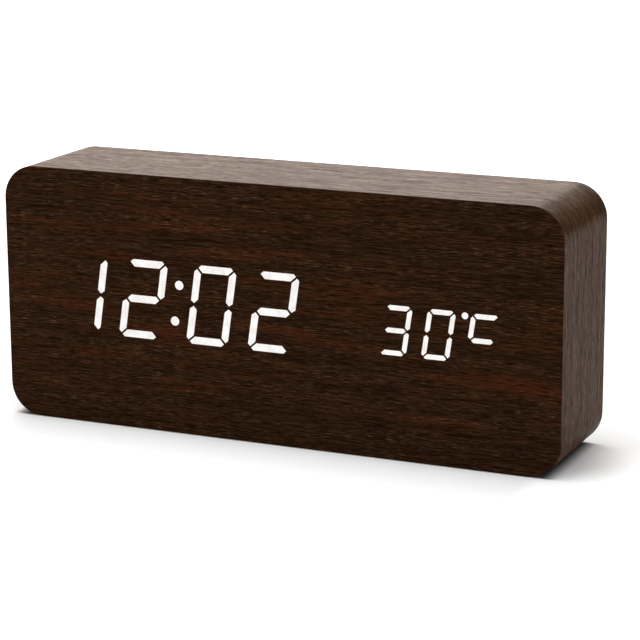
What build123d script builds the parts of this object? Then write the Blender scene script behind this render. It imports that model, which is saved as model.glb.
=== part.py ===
from build123d import *
from collections import namedtuple
import math
import os

os.makedirs("parts", exist_ok=True)

# A wooden desk clock with a display that shines through its front. Millimetres, X to the right
# as seen from the front, Y from the front to the back, Z up. The origin is the middle of the bottom.

# Wooden case
case_width = 210.0
case_height = 92.0
case_depth = 46.0
corner_radius = 12.0
edge_ease = 0.35
veneer = 0.5
front_wall = 4.0
case_wall = 8.0
cavity_corner = 5.0
panel_ledge = 5.5

# Clearances and the overrun of every cut
overrun = 1.0
window_clearance = 0.3
panel_clearance = 0.3
pilot_clearance = 0.05
button_clearance = 0.2
plunger_clearance = 0.15
seat_clearance = 0.1

# Time figures
time_stroke = 2.65
time_column_pitch = 13.5
time_bar_pitch = 12.88
time_corner_offset = 0.42
time_mitre_gap = 0.76
time_pair_pitch = 23.85
time_colon_pitch = 26.7
time_rise = 1.55
colon_dot_radius = 1.64
colon_half_spacing = 6.5
colon_drop = 0.2

# Temperature figures
temperature_stroke = 1.72
temperature_column_pitch = 8.35
temperature_bar_pitch = 7.85
temperature_corner_offset = 0.27
temperature_mitre_gap = 0.6
temperature_digit_pitch = 15.5
temperature_drop = 0.35
unit_column_pitch = 8.55
unit_bar_pitch = 8.35
unit_drop = 0.65
degree_dot_radius = 1.16
degree_dot_left = 6.1
degree_dot_rise = 8.15

# Slant of all figures, and the outer slope of a segment's middle end
digit_slant = 8.4
outer_slope_share = 0.7

# Reflectors and segment pieces, with their places across the cavity
time_reflector_width = 98.0
time_reflector_height = 36.0
time_place_share = -0.1879
temperature_reflector_width = 50.0
temperature_reflector_height = 24.0
temperature_place_share = 0.3172
reflector_depth = 8.0
reflector_corner = 1.5
throat_share = 0.64
segment_fill_depth = 3.0

# Display board and what it carries
board_gap = 3.0
board_thickness = 1.6
board_corner = 2.0
board_screw_inset = 4.5
spacer_radius = 2.6
led_length = 1.6
led_width = 0.8
led_height = 0.6
chip_length = 17.9
chip_width = 7.5
chip_height = 2.3
chip_standoff = 0.2
chip_lead_pitch = 1.27
chip_lead_width = 0.45
chip_lead_thickness = 0.25
chip_lead_reach = 1.4
chip_leads_per_side = 14
crystal_radius = 1.0
crystal_length = 6.0
crystal_gap = 3.0
buzzer_radius = 6.0
buzzer_height = 9.5
buzzer_hole_radius = 1.0
buzzer_hole_depth = 2.0
buzzer_left = 60.0
coin_radius = 10.0
coin_height = 3.2
coin_rim_ease = 0.3
holder_wall = 1.6
holder_floor = 0.8
holder_lip = 0.6
holder_mouth = 13.0
coin_left = 28.0
coin_drop = 10.0
capacitor_radius = 3.15
capacitor_height = 7.7
capacitor_base = 6.6
capacitor_base_height = 0.9
capacitor_pitch = 8.0
capacitor_left = 42.0
capacitor_rise = 16.0
resistor_length = 2.0
resistor_width = 1.25
resistor_height = 0.5
resistor_pitch = 2.6
resistor_count = 8
resistor_drop = 10.0

# Screws
small_screw_radius = 1.0
small_screw_head_radius = 1.9
small_screw_head_height = 1.3
small_screw_grip = 3.0
panel_screw_radius = 1.3
panel_screw_head_radius = 2.5
panel_screw_head_height = 1.2
panel_screw_grip = 6.0
cross_width = 0.6
cross_length = 2.2
cross_depth = 0.7

# Rear panel
panel_thickness = 2.0
panel_inset = 0.6
panel_screw_side = 2.6
panel_screw_drop = 12.0
sound_hole_radius = 0.7
sound_ring_radius = 3.0
sound_ring_count = 6
vent_length = 8.0
vent_width = 1.2
vent_pitch = 2.6
vent_count = 3
microphone_hole_radius = 0.8

# Battery bay, cells and contacts
cell_radius = 5.25
cell_length = 44.5
cell_nub_radius = 1.9
cell_nub_height = 0.8
cell_ease = 0.4
cell_count = 4
cell_gap = 0.3
spring_length = 4.6
contact_thickness = 0.4
contact_width = 8.0
contact_fold = 3.0
bay_wall = 1.5
bay_floor_gap = 0.2
bay_flange = 3.0
bay_flange_thickness = 1.2
latch_room = 7.0
spring_base_radius = 3.3
spring_tip_radius = 1.9
spring_wire_radius = 0.25
spring_end_gap = 0.2
spring_turns = 4

# Battery door and latch
door_thickness = 1.8
door_rest = 1.0
door_gap = 0.25
cell_door_gap = 0.5
tab_width = 8.0
tab_thickness = 1.0
tab_reach = 1.8
tab_root = 2.0
tab_gap = 0.3
tab_spread = 30.0
door_rib_height = 0.5
door_rib_width = 1.0
door_rib_length = 14.0
door_rib_pitch = 2.5
door_rib_count = 4
latch_width = 12.0
latch_side_gap = 0.8
latch_thickness = 1.0
latch_bend_radius = 1.2
latch_leg = 3.7
latch_nose = 0.9
latch_nose_height = 1.0
latch_pad = 1.2
thumb_radius = 9.0
thumb_depth = 0.8

# Control board, buttons and switches
control_width = 40.0
control_height = 44.0
control_bay_gap = 12.0
control_thickness = 1.6
boss_radius = 2.6
boss_inset = 3.5
button_radius = 3.4
button_proud = 0.4
button_crown = 0.3
button_flange_radius = 4.3
button_flange_height = 1.0
button_post_radius = 2.0
button_post_height = 0.8
button_pitch = 12.0
button_left = 10.0
switch_side = 6.0
switch_height = 3.5
switch_reach = 5.0
switch_ease = 0.5
plunger_radius = 1.75
plunger_depth = 0.9
plunger_well = 1.5

# Power jack
jack_width = 8.0
jack_height = 7.0
jack_nose_radius = 3.2
jack_nose_recess = 0.3
jack_nose_clearance = 0.2
jack_bore_radius = 1.95
jack_bore_depth = 6.0
jack_pin_radius = 0.65
jack_pin_recess = 0.8
jack_right = 29.0
jack_drop = 8.0

# Microphone, temperature sensor and wires
microphone_radius = 3.0
microphone_height = 2.7
microphone_rise = 3.5
microphone_right = 14.0
ring_wall = 0.8
ring_height = 2.5
sensor_bead_radius = 1.2
sensor_bead_gap = 1.2
sensor_drop = 4.0
sensor_lead_radius = 0.25
sensor_lead_pitch = 1.6
sensor_lead_landing = 3.0
wire_radius = 0.6
wire_bend = 2.5
wire_landing = 3.0
wire_run = 6.0
wire_dip = 3.0

# Ribbon cable between the boards
socket_width = 4.5
socket_length = 13.0
socket_height = 5.0
socket_wall = 0.6
socket_floor = 1.0
plug_proud = 1.0
ribbon_width = 9.0
ribbon_thickness = 0.9
ribbon_bend_share = 0.25
ribbon_display_right = 28.0
ribbon_control_right = 16.0
ribbon_drop = 12.0

# Places worked out from the sizes
front_y = -case_depth / 2
rear_y = case_depth / 2
mid_z = case_height / 2
block_front = front_y + veneer
block_rear = rear_y - veneer
cavity_width = case_width - 2 * case_wall
cavity_height = case_height - 2 * case_wall
cavity_front = block_front + front_wall
rebate_rim = case_wall - panel_ledge
panel_outer = rear_y - panel_inset
panel_inner = panel_outer - panel_thickness

board_width = cavity_width - 2 * board_gap
board_height = cavity_height - 2 * board_gap
board_front = block_front + reflector_depth
board_back = board_front + board_thickness

door_outer = panel_outer
door_inner = door_outer - door_thickness
cell_y = door_inner - cell_door_gap - cell_radius
bay_floor = cell_y - cell_radius - bay_floor_gap
bay_length = cell_length + spring_length + 2 * contact_thickness
bay_right = bay_length / 2
cell_pitch = 2 * cell_radius + cell_gap
bay_height = cell_count * cell_pitch + latch_room
bay_bottom = mid_z - bay_height / 2
bay_top = mid_z + bay_height / 2
door_bottom = bay_bottom - door_rest
door_top = bay_top + door_rest
door_right = bay_right + door_rest

button_flange_back = panel_inner - seat_clearance - button_flange_height
button_back = button_flange_back - button_post_height
control_back = button_back - switch_reach
control_front = control_back - control_thickness
control_left = bay_right + bay_wall + control_bay_gap
control_x = control_left + control_width / 2
button_x = control_left + button_left
jack_x = control_left + jack_right
jack_z = mid_z - jack_drop
microphone_x = control_left + microphone_right
microphone_z = mid_z + control_height / 2 + microphone_rise
sensor_z = mid_z - control_height / 2 - sensor_drop
buzzer_x = -buzzer_left

# Figures: a style holds the sizes of one kind of digit, a figure is one digit in its place, and a
# display is a row of figures and round dots in one reflector.
Style = namedtuple("Style", "stroke column bar offset setback")
Figure = namedtuple("Figure", "x z style lit dark")
Dot = namedtuple("Dot", "x z radius")
Display = namedtuple("Display", "x z width height figures dots")

ALL_SEGMENTS = "abcdefg"
UNIT_SEGMENTS = "aefg"
SHAPES = {"0": "abcdef", "1": "bc", "2": "abdeg", "3": "abcdg", "C": "afg"}
MIRRORS = {"a": (1, 1), "b": (-1, 1), "c": (-1, -1), "d": (1, -1), "e": (1, -1), "f": (1, 1), "g": (1, 1)}


def figure_style(stroke, column_pitch, bar_pitch, corner_offset, mitre_gap):
    """Sizes of one kind of figure, with the tip setback that leaves the wanted mitre gap."""
    return Style(stroke, column_pitch / 2, bar_pitch, corner_offset, mitre_gap / math.sqrt(2))


def figure(x, z, style, shape, segments=ALL_SEGMENTS):
    """One digit or letter in its place, with its lit and its unlit segments."""
    lit = SHAPES[shape]
    return Figure(x, z, style, lit, "".join(s for s in segments if s not in lit))


def slanted(x, z):
    """A point of an upright figure after the figure is leant over."""
    return (x + z * math.tan(math.radians(digit_slant)), z)


def side_bar(style):
    """Corner points of the upper left segment of an upright figure."""
    half = style.stroke / 2
    inner = half - style.column
    outer = -half - style.column
    top = style.bar - half - style.setback
    return [
        (outer, top + 2 * style.offset),
        (-style.column - style.offset, style.bar + style.offset - style.setback),
        (inner, top),
        (inner, style.setback + half),
        (-style.column, style.setback),
        (outer, style.setback + half * outer_slope_share),
    ]


def top_bar(style):
    """Corner points of the top segment of an upright figure."""
    half = style.stroke / 2
    tip = style.column + style.offset - style.setback
    outer = tip - half + style.offset
    inner = tip - half - style.offset
    return [
        (-tip, style.bar + style.offset),
        (-outer, style.bar + half),
        (outer, style.bar + half),
        (tip, style.bar + style.offset),
        (inner, style.bar - half),
        (-inner, style.bar - half),
    ]


def middle_bar(style):
    """Corner points of the middle segment of an upright figure."""
    half = style.stroke / 2
    tip = style.column - style.setback
    return [
        (-tip, 0),
        (half - tip, half),
        (tip - half, half),
        (tip, 0),
        (tip - half, -half),
        (half - tip, -half),
    ]


def segment_points(place, letter):
    """Corner points of one segment of a figure, leant over and in its place on the front."""
    if letter == "g":
        points = middle_bar(place.style)
    elif letter in "ad":
        points = top_bar(place.style)
    else:
        points = side_bar(place.style)
    flip_x, flip_z = MIRRORS[letter]
    leant = [slanted(flip_x * x, flip_z * z) for x, z in points]
    return [(place.x + x, place.z + z) for x, z in leant]


def middle_of(points):
    """The mean of a list of points."""
    return (sum(x for x, z in points) / len(points), sum(z for x, z in points) / len(points))


def drawn_in(points, share):
    """The same outline drawn in towards its middle."""
    mx, mz = middle_of(points)
    return [(mx + (x - mx) * share, mz + (z - mz) * share) for x, z in points]


def depth_plane(y):
    """A drawing plane at one depth, whose x is X and whose y is Z."""
    return Plane(origin=(0, y, 0), x_dir=(1, 0, 0), z_dir=(0, -1, 0))


def slab(outline, y_front, y_back):
    """An outline in X and Z, made solid between two depths."""
    return extrude(depth_plane(y_back) * outline, y_back - y_front, dir=(0, -1, 0))


def rod(radius, x, z, y_front, y_back):
    """A round bar that runs from front to back."""
    return slab(Pos(x, z) * Circle(radius), y_front, y_back)


def block(width, height, x, z, y_front, y_back):
    """A rectangular block about a point of the front view."""
    return slab(Pos(x, z) * Rectangle(width, height), y_front, y_back)


def group(pieces):
    """One node made of separate solids."""
    return Compound([solid for piece in pieces for solid in piece.solids()])


def tube(points, radius, bend):
    """A round wire along straight runs that are joined by arcs."""
    path = FilletPolyline(*points, radius=bend)
    return sweep(Plane(origin=path @ 0, z_dir=path % 0) * Circle(radius), path=path)


def well_share(y):
    """How far a light well has narrowed at a depth, from 1 at the face of the reflector."""
    return 1 - (1 - throat_share) * (y - block_front) / reflector_depth


def funnel(points, y_front, y_back):
    """The part of a segment's light well between two depths."""
    sections = [depth_plane(y) * Polygon(*drawn_in(points, well_share(y)), align=None)
                for y in (y_front, y_back)]
    return loft(sections, ruled=True)


def dot_funnel(dot, y_front, y_back):
    """The part of a dot's light well between two depths."""
    sections = [depth_plane(y) * Pos(dot.x, dot.z) * Circle(dot.radius * well_share(y))
                for y in (y_front, y_back)]
    return loft(sections, ruled=True)


def time_display():
    """The four time digits and the colon."""
    style = figure_style(time_stroke, time_column_pitch, time_bar_pitch, time_corner_offset,
                         time_mitre_gap)
    x = cavity_width * time_place_share
    z = mid_z + time_rise
    near = time_colon_pitch / 2
    far = near + time_pair_pitch
    figures = [figure(x + step, z, style, shape)
               for step, shape in zip((-far, -near, near, far), "1202")]
    dots = []
    for side in (1, -1):
        lean, rise = slanted(0, side * colon_half_spacing)
        dots.append(Dot(x + lean, z + rise - colon_drop, colon_dot_radius))
    return Display(x, z, time_reflector_width, time_reflector_height, figures, dots)


def temperature_display():
    """The two temperature digits, the degree dot and the letter of the unit."""
    style = figure_style(temperature_stroke, temperature_column_pitch, temperature_bar_pitch,
                         temperature_corner_offset, temperature_mitre_gap)
    unit_style = figure_style(temperature_stroke, unit_column_pitch, unit_bar_pitch,
                              temperature_corner_offset, temperature_mitre_gap)
    x = cavity_width * temperature_place_share
    z = mid_z - temperature_drop
    unit_x = x + temperature_digit_pitch
    unit_z = z - unit_drop
    figures = [figure(x - temperature_digit_pitch, z, style, "3"),
               figure(x, z, style, "0"),
               figure(unit_x, unit_z, unit_style, "C", UNIT_SEGMENTS)]
    dots = [Dot(unit_x - degree_dot_left, unit_z + degree_dot_rise, degree_dot_radius)]
    return Display(x, z, temperature_reflector_width, temperature_reflector_height, figures, dots)


def lit_outlines(display):
    """Outlines of a display's lit segments."""
    return [segment_points(place, letter) for place in display.figures for letter in place.lit]


def dark_outlines(display):
    """Outlines of a display's unlit segments."""
    return [segment_points(place, letter) for place in display.figures for letter in place.dark]


def case_outline(inset=0):
    """The outline of the clock seen from the front, or that outline moved inwards."""
    return Pos(0, mid_z) * RectangleRounded(case_width - 2 * inset, case_height - 2 * inset,
                                            corner_radius - inset)


def rebate_outline(inset=0):
    """The outline of the panel's seat, or that outline moved inwards."""
    return case_outline(rebate_rim + inset)


def reflector_outline(display, grow=0):
    """The outline of a reflector, or that outline moved outwards."""
    return Pos(display.x, display.z) * RectangleRounded(
        display.width + 2 * grow, display.height + 2 * grow, reflector_corner + grow)


def board_screw_places():
    """Where the display board is screwed to the front wall."""
    reach_x = board_width / 2 - board_screw_inset
    reach_z = board_height / 2 - board_screw_inset
    return [(sx * reach_x, mid_z + sz * reach_z) for sx in (-1, 1) for sz in (-1, 1)]


def panel_screw_places():
    """Where the rear panel is screwed to the ledges of the case."""
    reach_x = cavity_width / 2 + panel_screw_side
    reach_z = cavity_height / 2 - panel_screw_drop
    return [(sx * reach_x, mid_z + sz * reach_z) for sx in (-1, 1) for sz in (-1, 1)]


def case_front():
    """Fibreboard front wall with a window for each reflector and the board's screw holes."""
    wall = slab(case_outline(veneer), block_front, cavity_front)
    for display in (time_display(), temperature_display()):
        window = reflector_outline(display, window_clearance)
        wall -= slab(window, block_front - overrun, cavity_front + overrun)
    for x, z in board_screw_places():
        wall -= rod(small_screw_radius + pilot_clearance, x, z,
                    cavity_front - small_screw_grip, cavity_front + overrun)
    return wall


def case_ring():
    """Fibreboard ring behind the front wall, with a ledge and screw holes for the rear panel."""
    ring = slab(case_outline(veneer), cavity_front, block_rear)
    cavity = Pos(0, mid_z) * RectangleRounded(cavity_width, cavity_height, cavity_corner)
    ring -= slab(cavity, cavity_front - overrun, block_rear + overrun)
    ring -= slab(rebate_outline(), panel_inner, block_rear + overrun)
    for x, z in panel_screw_places():
        ring -= rod(panel_screw_radius + pilot_clearance, x, z,
                    panel_inner - panel_screw_grip, panel_inner + overrun)
    return ring


def front_veneer():
    """Thin face sheet with an eased edge and a window for each lit segment and dot."""
    sheet = slab(case_outline(), front_y, block_front)
    sheet = fillet(sheet.faces().sort_by(Axis.Y)[0].edges(), edge_ease)
    for display in (time_display(), temperature_display()):
        for points in lit_outlines(display):
            sheet -= slab(Polygon(*points, align=None), front_y - overrun, block_front + overrun)
        for dot in display.dots:
            sheet -= rod(dot.radius, dot.x, dot.z, front_y - overrun, block_front + overrun)
    return sheet


def wrap_veneer():
    """Thin band round the sides, the top and the four rounded corners."""
    band = slab(case_outline() - case_outline(veneer), block_front, block_rear)
    return band - block(case_width - 2 * corner_radius, 2 * veneer, 0, 0,
                        block_front - overrun, block_rear + overrun)


def bottom_veneer():
    """Thin sheet under the clock, between the ends of the band."""
    return block(case_width - 2 * corner_radius, veneer, 0, veneer / 2, block_front, block_rear)


def rear_veneer():
    """Thin sheet round the rear panel, with an eased outer edge."""
    sheet = slab(case_outline(), block_rear, rear_y)
    sheet = fillet(sheet.faces().sort_by(Axis.Y)[-1].edges(), edge_ease)
    return sheet - slab(rebate_outline(), block_rear - overrun, rear_y + overrun)


def lit_segments(display):
    """Translucent pieces of the lit segments, from their wells to the face of the veneer."""
    fill_back = block_front + segment_fill_depth
    pieces = []
    for points in lit_outlines(display):
        front = slab(Polygon(*points, align=None), front_y, block_front)
        pieces.append(front + funnel(points, block_front, fill_back))
    for dot in display.dots:
        front = rod(dot.radius, dot.x, dot.z, front_y, block_front)
        pieces.append(front + dot_funnel(dot, block_front, fill_back))
    return group(pieces)


def dark_segments(display):
    """Translucent pieces of the unlit segments, behind the veneer."""
    fill_back = block_front + segment_fill_depth
    return group([funnel(points, block_front, fill_back) for points in dark_outlines(display)])


def reflector(display):
    """White block with a tapered light well behind every segment and dot."""
    board_side = block_front + reflector_depth
    solid = slab(reflector_outline(display), block_front, board_side)
    wells = [funnel(points, block_front - overrun, board_side + overrun)
             for points in lit_outlines(display) + dark_outlines(display)]
    wells += [dot_funnel(dot, block_front - overrun, board_side + overrun) for dot in display.dots]
    return solid - wells


def display_board():
    """Circuit board behind both reflectors, with its screw holes."""
    outline = Pos(0, mid_z) * RectangleRounded(board_width, board_height, board_corner)
    for x, z in board_screw_places():
        outline -= Pos(x, z) * Circle(small_screw_radius + pilot_clearance)
    return slab(outline, board_front, board_back)


def segment_leds():
    """One small LED in the throat of every light well."""
    leds = []
    for display in (time_display(), temperature_display()):
        for place in display.figures:
            for letter in place.lit + place.dark:
                x, z = middle_of(segment_points(place, letter))
                lying = letter in "adg"
                width, height = (led_length, led_width) if lying else (led_width, led_length)
                leds.append(block(width, height, x, z, board_front - led_height, board_front))
        for dot in display.dots:
            leds.append(block(led_width, led_width, dot.x, dot.z,
                              board_front - led_height, board_front))
    return group(leds)


def board_spacers():
    """Sleeves between the front wall and the display board."""
    ring = Circle(spacer_radius) - Circle(small_screw_radius + pilot_clearance)
    return group([slab(Pos(x, z) * ring, cavity_front, board_front)
                  for x, z in board_screw_places()])


def cross_slot(x, z, y_front, y_back):
    """The cross-shaped tool recess of a screw head."""
    cross = Rectangle(cross_length, cross_width) + Rectangle(cross_width, cross_length)
    return slab(Pos(x, z) * cross, y_front, y_back)


def screw(x, z, seat, radius, head_radius, head_height, length):
    """A screw whose rounded head faces the back and sits on a seat at one depth."""
    shank = rod(radius, x, z, seat - length, seat)
    head = rod(head_radius, x, z, seat, seat + head_height)
    head = fillet(head.edges().sort_by(Axis.Y)[-1], head_height / 2)
    top = seat + head_height
    return shank + head - cross_slot(x, z, top - cross_depth, top + overrun)


def board_screws():
    """Screws that hold the display board."""
    length = small_screw_grip + board_back - cavity_front
    return group([screw(x, z, board_back, small_screw_radius, small_screw_head_radius,
                        small_screw_head_height, length) for x, z in board_screw_places()])


def chip_lead(x, side):
    """One bent lead of the controller chip, from its side down to the board."""
    root_z = mid_z + side * chip_width / 2
    middle_y = board_back + chip_standoff + chip_height / 2
    bend = chip_lead_reach / 2
    arm = block(chip_lead_width, bend, x, root_z + side * bend / 2,
                middle_y - chip_lead_thickness, middle_y)
    drop = block(chip_lead_width, chip_lead_thickness,
                 x, root_z + side * (bend - chip_lead_thickness / 2), board_back, middle_y)
    foot = block(chip_lead_width, bend, x, root_z + side * (bend + bend / 2),
                 board_back, board_back + chip_lead_thickness)
    return arm + drop + foot


def controller_chip():
    """The clock's controller, with a row of leads on both long sides."""
    bottom = board_back + chip_standoff
    body = block(chip_length, chip_width, 0, mid_z, bottom, bottom + chip_height)
    first = -chip_lead_pitch * (chip_leads_per_side - 1) / 2
    leads = [chip_lead(first + chip_lead_pitch * i, side)
             for i in range(chip_leads_per_side) for side in (-1, 1)]
    return body + leads


def clock_crystal():
    """Small round can that lies on the board beside the chip."""
    x = chip_length / 2 + crystal_gap
    can = Cylinder(crystal_radius, crystal_length, rotation=(0, 90, 0),
                   align=(Align.CENTER, Align.CENTER, Align.MIN))
    return Pos(x, board_back + crystal_radius, mid_z) * can


def piezo_buzzer():
    """Round sounder with its sound hole towards the back."""
    top = board_back + buzzer_height
    can = rod(buzzer_radius, buzzer_x, mid_z, board_back, top)
    return can - rod(buzzer_hole_radius, buzzer_x, mid_z, top - buzzer_hole_depth, top + overrun)


def coin_cell_holder():
    """Open cup that holds the coin cell, with a mouth on its lower side and lips over the cell."""
    x = -coin_left
    z = mid_z - coin_drop
    inner = coin_radius + seat_clearance
    outer = inner + holder_wall
    rim = board_back + holder_floor + coin_height + seat_clearance
    top = rim + holder_lip
    cup = rod(outer, x, z, board_back, top)
    cup -= rod(inner, x, z, board_back + holder_floor, rim)
    cup -= rod(inner - holder_lip, x, z, rim - overrun, top + overrun)
    mouth = block(holder_mouth, outer, x, z - outer / 2 - inner / 2,
                  board_back + holder_floor, top + overrun)
    return cup - mouth


def coin_cell():
    """Coin cell that keeps the time while the clock has no other power."""
    bottom = board_back + holder_floor
    disc = rod(coin_radius, -coin_left, mid_z - coin_drop, bottom, bottom + coin_height)
    return fillet(disc.edges().filter_by(GeomType.CIRCLE), coin_rim_ease)


def board_capacitors():
    """Two upright round capacitors on their square bases."""
    cans = []
    for i in range(2):
        x = -capacitor_left + i * capacitor_pitch
        z = mid_z + capacitor_rise
        base = block(capacitor_base, capacitor_base, x, z, board_back,
                     board_back + capacitor_base_height)
        cans.append(base + rod(capacitor_radius, x, z, board_back, board_back + capacitor_height))
    return group(cans)


def board_resistors():
    """A row of small flat resistors beside the chip."""
    first = -resistor_pitch * (resistor_count - 1) / 2
    return group([block(resistor_width, resistor_length, first + i * resistor_pitch,
                        mid_z + resistor_drop, board_back, board_back + resistor_height)
                  for i in range(resistor_count)])


def control_boss_places():
    """Where the control board is screwed to the bosses of the rear panel."""
    reach_x = control_width / 2 - boss_inset
    reach_z = control_height / 2 - boss_inset
    return [(control_x + sx * reach_x, mid_z + sz * reach_z) for sx in (-1, 1) for sz in (-1, 1)]


def button_places():
    """Middle of each button, from the top one down."""
    return [(button_x, mid_z + step * button_pitch) for step in (1, 0, -1)]


def battery_bay():
    """Open box behind the panel that holds the cells, with a flange on both sides."""
    outer_length = bay_length + 2 * bay_wall
    outer_height = bay_height + 2 * bay_wall
    bay = block(outer_length, outer_height, 0, mid_z, bay_floor - bay_wall, panel_inner)
    bay += block(outer_length + 2 * bay_flange, outer_height, 0, mid_z,
                 panel_inner - bay_flange_thickness, panel_inner)
    bay -= block(bay_length, bay_height, 0, mid_z, bay_floor, panel_inner + overrun)
    reach = math.hypot(door_outer - panel_inner + tab_gap + tab_thickness, tab_reach)
    slot_bottom = door_outer - reach - tab_gap
    for side in (-1, 1):
        bay -= block(tab_width + 2 * tab_gap, 2 * bay_wall, side * tab_spread / 2, bay_bottom - bay_wall,
                     slot_bottom, panel_inner + overrun)
    nose_notch = block(latch_width + 2 * latch_side_gap, 2 * bay_wall, 0, bay_top + bay_wall,
                       panel_inner - latch_leg, panel_inner + overrun)
    return bay - nose_notch


def panel_openings(plate):
    """Cut the openings of the door, buttons, jack, sounder, microphone and sensor."""
    through = (panel_inner - overrun, panel_outer + overrun)
    door_height = door_top - door_bottom
    plate -= block(2 * (door_right + door_gap), door_height + 2 * door_gap, 0, mid_z, *through)
    thumb = rod(thumb_radius, 0, door_top, panel_outer - thumb_depth, panel_outer + overrun)
    plate -= thumb
    for x, z in button_places():
        plate -= rod(button_radius + button_clearance, x, z, *through)
    plate -= rod(jack_nose_radius + jack_nose_clearance, jack_x, jack_z, *through)
    plate -= rod(microphone_hole_radius, microphone_x, microphone_z, *through)
    plate -= rod(sound_hole_radius, buzzer_x, mid_z, *through)
    for i in range(sound_ring_count):
        turn = 2 * math.pi * i / sound_ring_count
        x = buzzer_x + sound_ring_radius * math.cos(turn)
        z = mid_z + sound_ring_radius * math.sin(turn)
        plate -= rod(sound_hole_radius, x, z, *through)
    first = sensor_z - vent_pitch * (vent_count - 1) / 2
    for i in range(vent_count):
        slot = Pos(microphone_x, first + i * vent_pitch) * SlotOverall(vent_length, vent_width)
        plate -= slab(slot, *through)
    return plate


def rear_panel():
    """Moulded rear panel with its openings, the bosses of the control board and a microphone ring."""
    plate = slab(rebate_outline(panel_clearance), panel_inner, panel_outer)
    plate = panel_openings(plate)
    seat = panel_outer - panel_screw_head_height
    for x, z in panel_screw_places():
        plate -= rod(panel_screw_radius + pilot_clearance, x, z, panel_inner - overrun, seat)
        plate -= rod(panel_screw_head_radius + seat_clearance, x, z, seat, panel_outer + overrun)
    boss = Circle(boss_radius) - Circle(small_screw_radius + pilot_clearance)
    for x, z in control_boss_places():
        plate += slab(Pos(x, z) * boss, control_back, panel_inner)
    ring = Circle(microphone_radius + seat_clearance + ring_wall)
    ring -= Circle(microphone_radius + seat_clearance)
    plate += slab(Pos(microphone_x, microphone_z) * ring, panel_inner - ring_height, panel_inner)
    return plate


def panel_screws():
    """Screws that hold the rear panel to the case."""
    seat = panel_outer - panel_screw_head_height
    length = seat - panel_inner + panel_screw_grip
    return group([screw(x, z, seat, panel_screw_radius, panel_screw_head_radius,
                        panel_screw_head_height, length) for x, z in panel_screw_places()])


def latch_bottom():
    """Height of the latch notch's lower edge in the door."""
    return door_top - 2 * (latch_bend_radius + latch_thickness) - latch_nose - latch_pad


def battery_door():
    """Door plate with two tabs below, a notch for the latch above and ribs for the finger."""
    height = door_top - door_bottom
    plate = block(2 * door_right, height, 0, mid_z, door_inner, door_outer)
    notch_height = door_top - latch_bottom()
    plate -= block(latch_width + 2 * latch_side_gap, 2 * notch_height, 0, door_top,
                   door_inner - overrun, door_outer + overrun)
    for side in (-1, 1):
        x = side * tab_spread / 2
        tab_outer = panel_inner - tab_gap
        tab_inner = tab_outer - tab_thickness
        plate += block(tab_width, tab_root, x, door_bottom + door_rest + tab_root / 2,
                       tab_inner, door_inner)
        plate += block(tab_width, tab_reach + door_rest + tab_root, x,
                       door_bottom + (door_rest + tab_root - tab_reach) / 2, tab_inner, tab_outer)
    for i in range(door_rib_count):
        z = latch_bottom() - door_rib_pitch * (i + 1)
        plate -= block(door_rib_length, door_rib_width, 0, z, door_outer - door_rib_height,
                       door_outer + overrun)
    return plate


def door_latch():
    """Springy tongue of the door, folded inwards and back, with a nose that holds the door shut."""
    outer = latch_bend_radius + latch_thickness
    bend_z = latch_bottom() + outer
    bend_y = door_outer - latch_leg
    ring = Pos(bend_y, bend_z) * (Circle(outer) - Circle(latch_bend_radius))
    profile = ring - Pos(bend_y + outer / 2, bend_z) * Rectangle(outer, 2 * outer)
    for side in (-1, 1):
        leg_z = bend_z + side * (latch_bend_radius + latch_thickness / 2)
        profile += Pos(bend_y + latch_leg / 2, leg_z) * Rectangle(latch_leg, latch_thickness)
    nose_top = panel_inner - tab_gap - seat_clearance
    nose_z = bend_z + outer
    profile += Polygon((nose_top, nose_z), (nose_top, door_top + latch_nose),
                       (nose_top - latch_nose_height, nose_z), align=None)
    pad_y = door_outer - latch_thickness / 2
    pad_z = (nose_z + door_top) / 2
    profile += Pos(pad_y, pad_z) * Rectangle(latch_thickness, door_top - nose_z)
    side_plane = Plane(origin=(-latch_width / 2, 0, 0), x_dir=(0, 1, 0), z_dir=(1, 0, 0))
    return extrude(side_plane * profile, latch_width, dir=(1, 0, 0))


def cell_heights():
    """Middle height of each cell, from the lowest up."""
    first = bay_bottom + cell_gap + cell_radius
    return [first + i * cell_pitch for i in range(cell_count)]


def cell_side(i):
    """Which way the raised end of a cell points: neighbours lie opposite ways."""
    return 1 if i % 2 == 0 else -1


def lying_cylinder(radius, x_start, x_end, y, z):
    """A round bar that runs along X."""
    bar = Cylinder(radius, abs(x_end - x_start), rotation=(0, 90, 0))
    return Pos((x_start + x_end) / 2, y, z) * bar


def battery_cells():
    """Four cells side by side, each with its raised end."""
    cells = []
    for i, z in enumerate(cell_heights()):
        side = cell_side(i)
        tip = side * (bay_right - contact_thickness)
        shoulder = tip - side * cell_nub_height
        base = tip - side * cell_length
        body = lying_cylinder(cell_radius, shoulder, base, cell_y, z)
        body = fillet(body.edges().filter_by(GeomType.CIRCLE), cell_ease)
        cells.append(body + lying_cylinder(cell_nub_radius, tip, shoulder, cell_y, z))
    return group(cells)


def contact_plate(side, z_low, z_high):
    """A thin plate on one end wall of the bay, with a fold over the bay's floor."""
    x = side * (bay_right - contact_thickness / 2)
    height = z_high - z_low
    middle = (z_low + z_high) / 2
    upright = block(contact_thickness, height, x, middle, bay_floor, door_inner - cell_door_gap)
    fold_x = side * (bay_right - contact_fold / 2)
    return upright + block(contact_fold, height, fold_x, middle, bay_floor,
                           bay_floor + bay_floor_gap)


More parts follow.
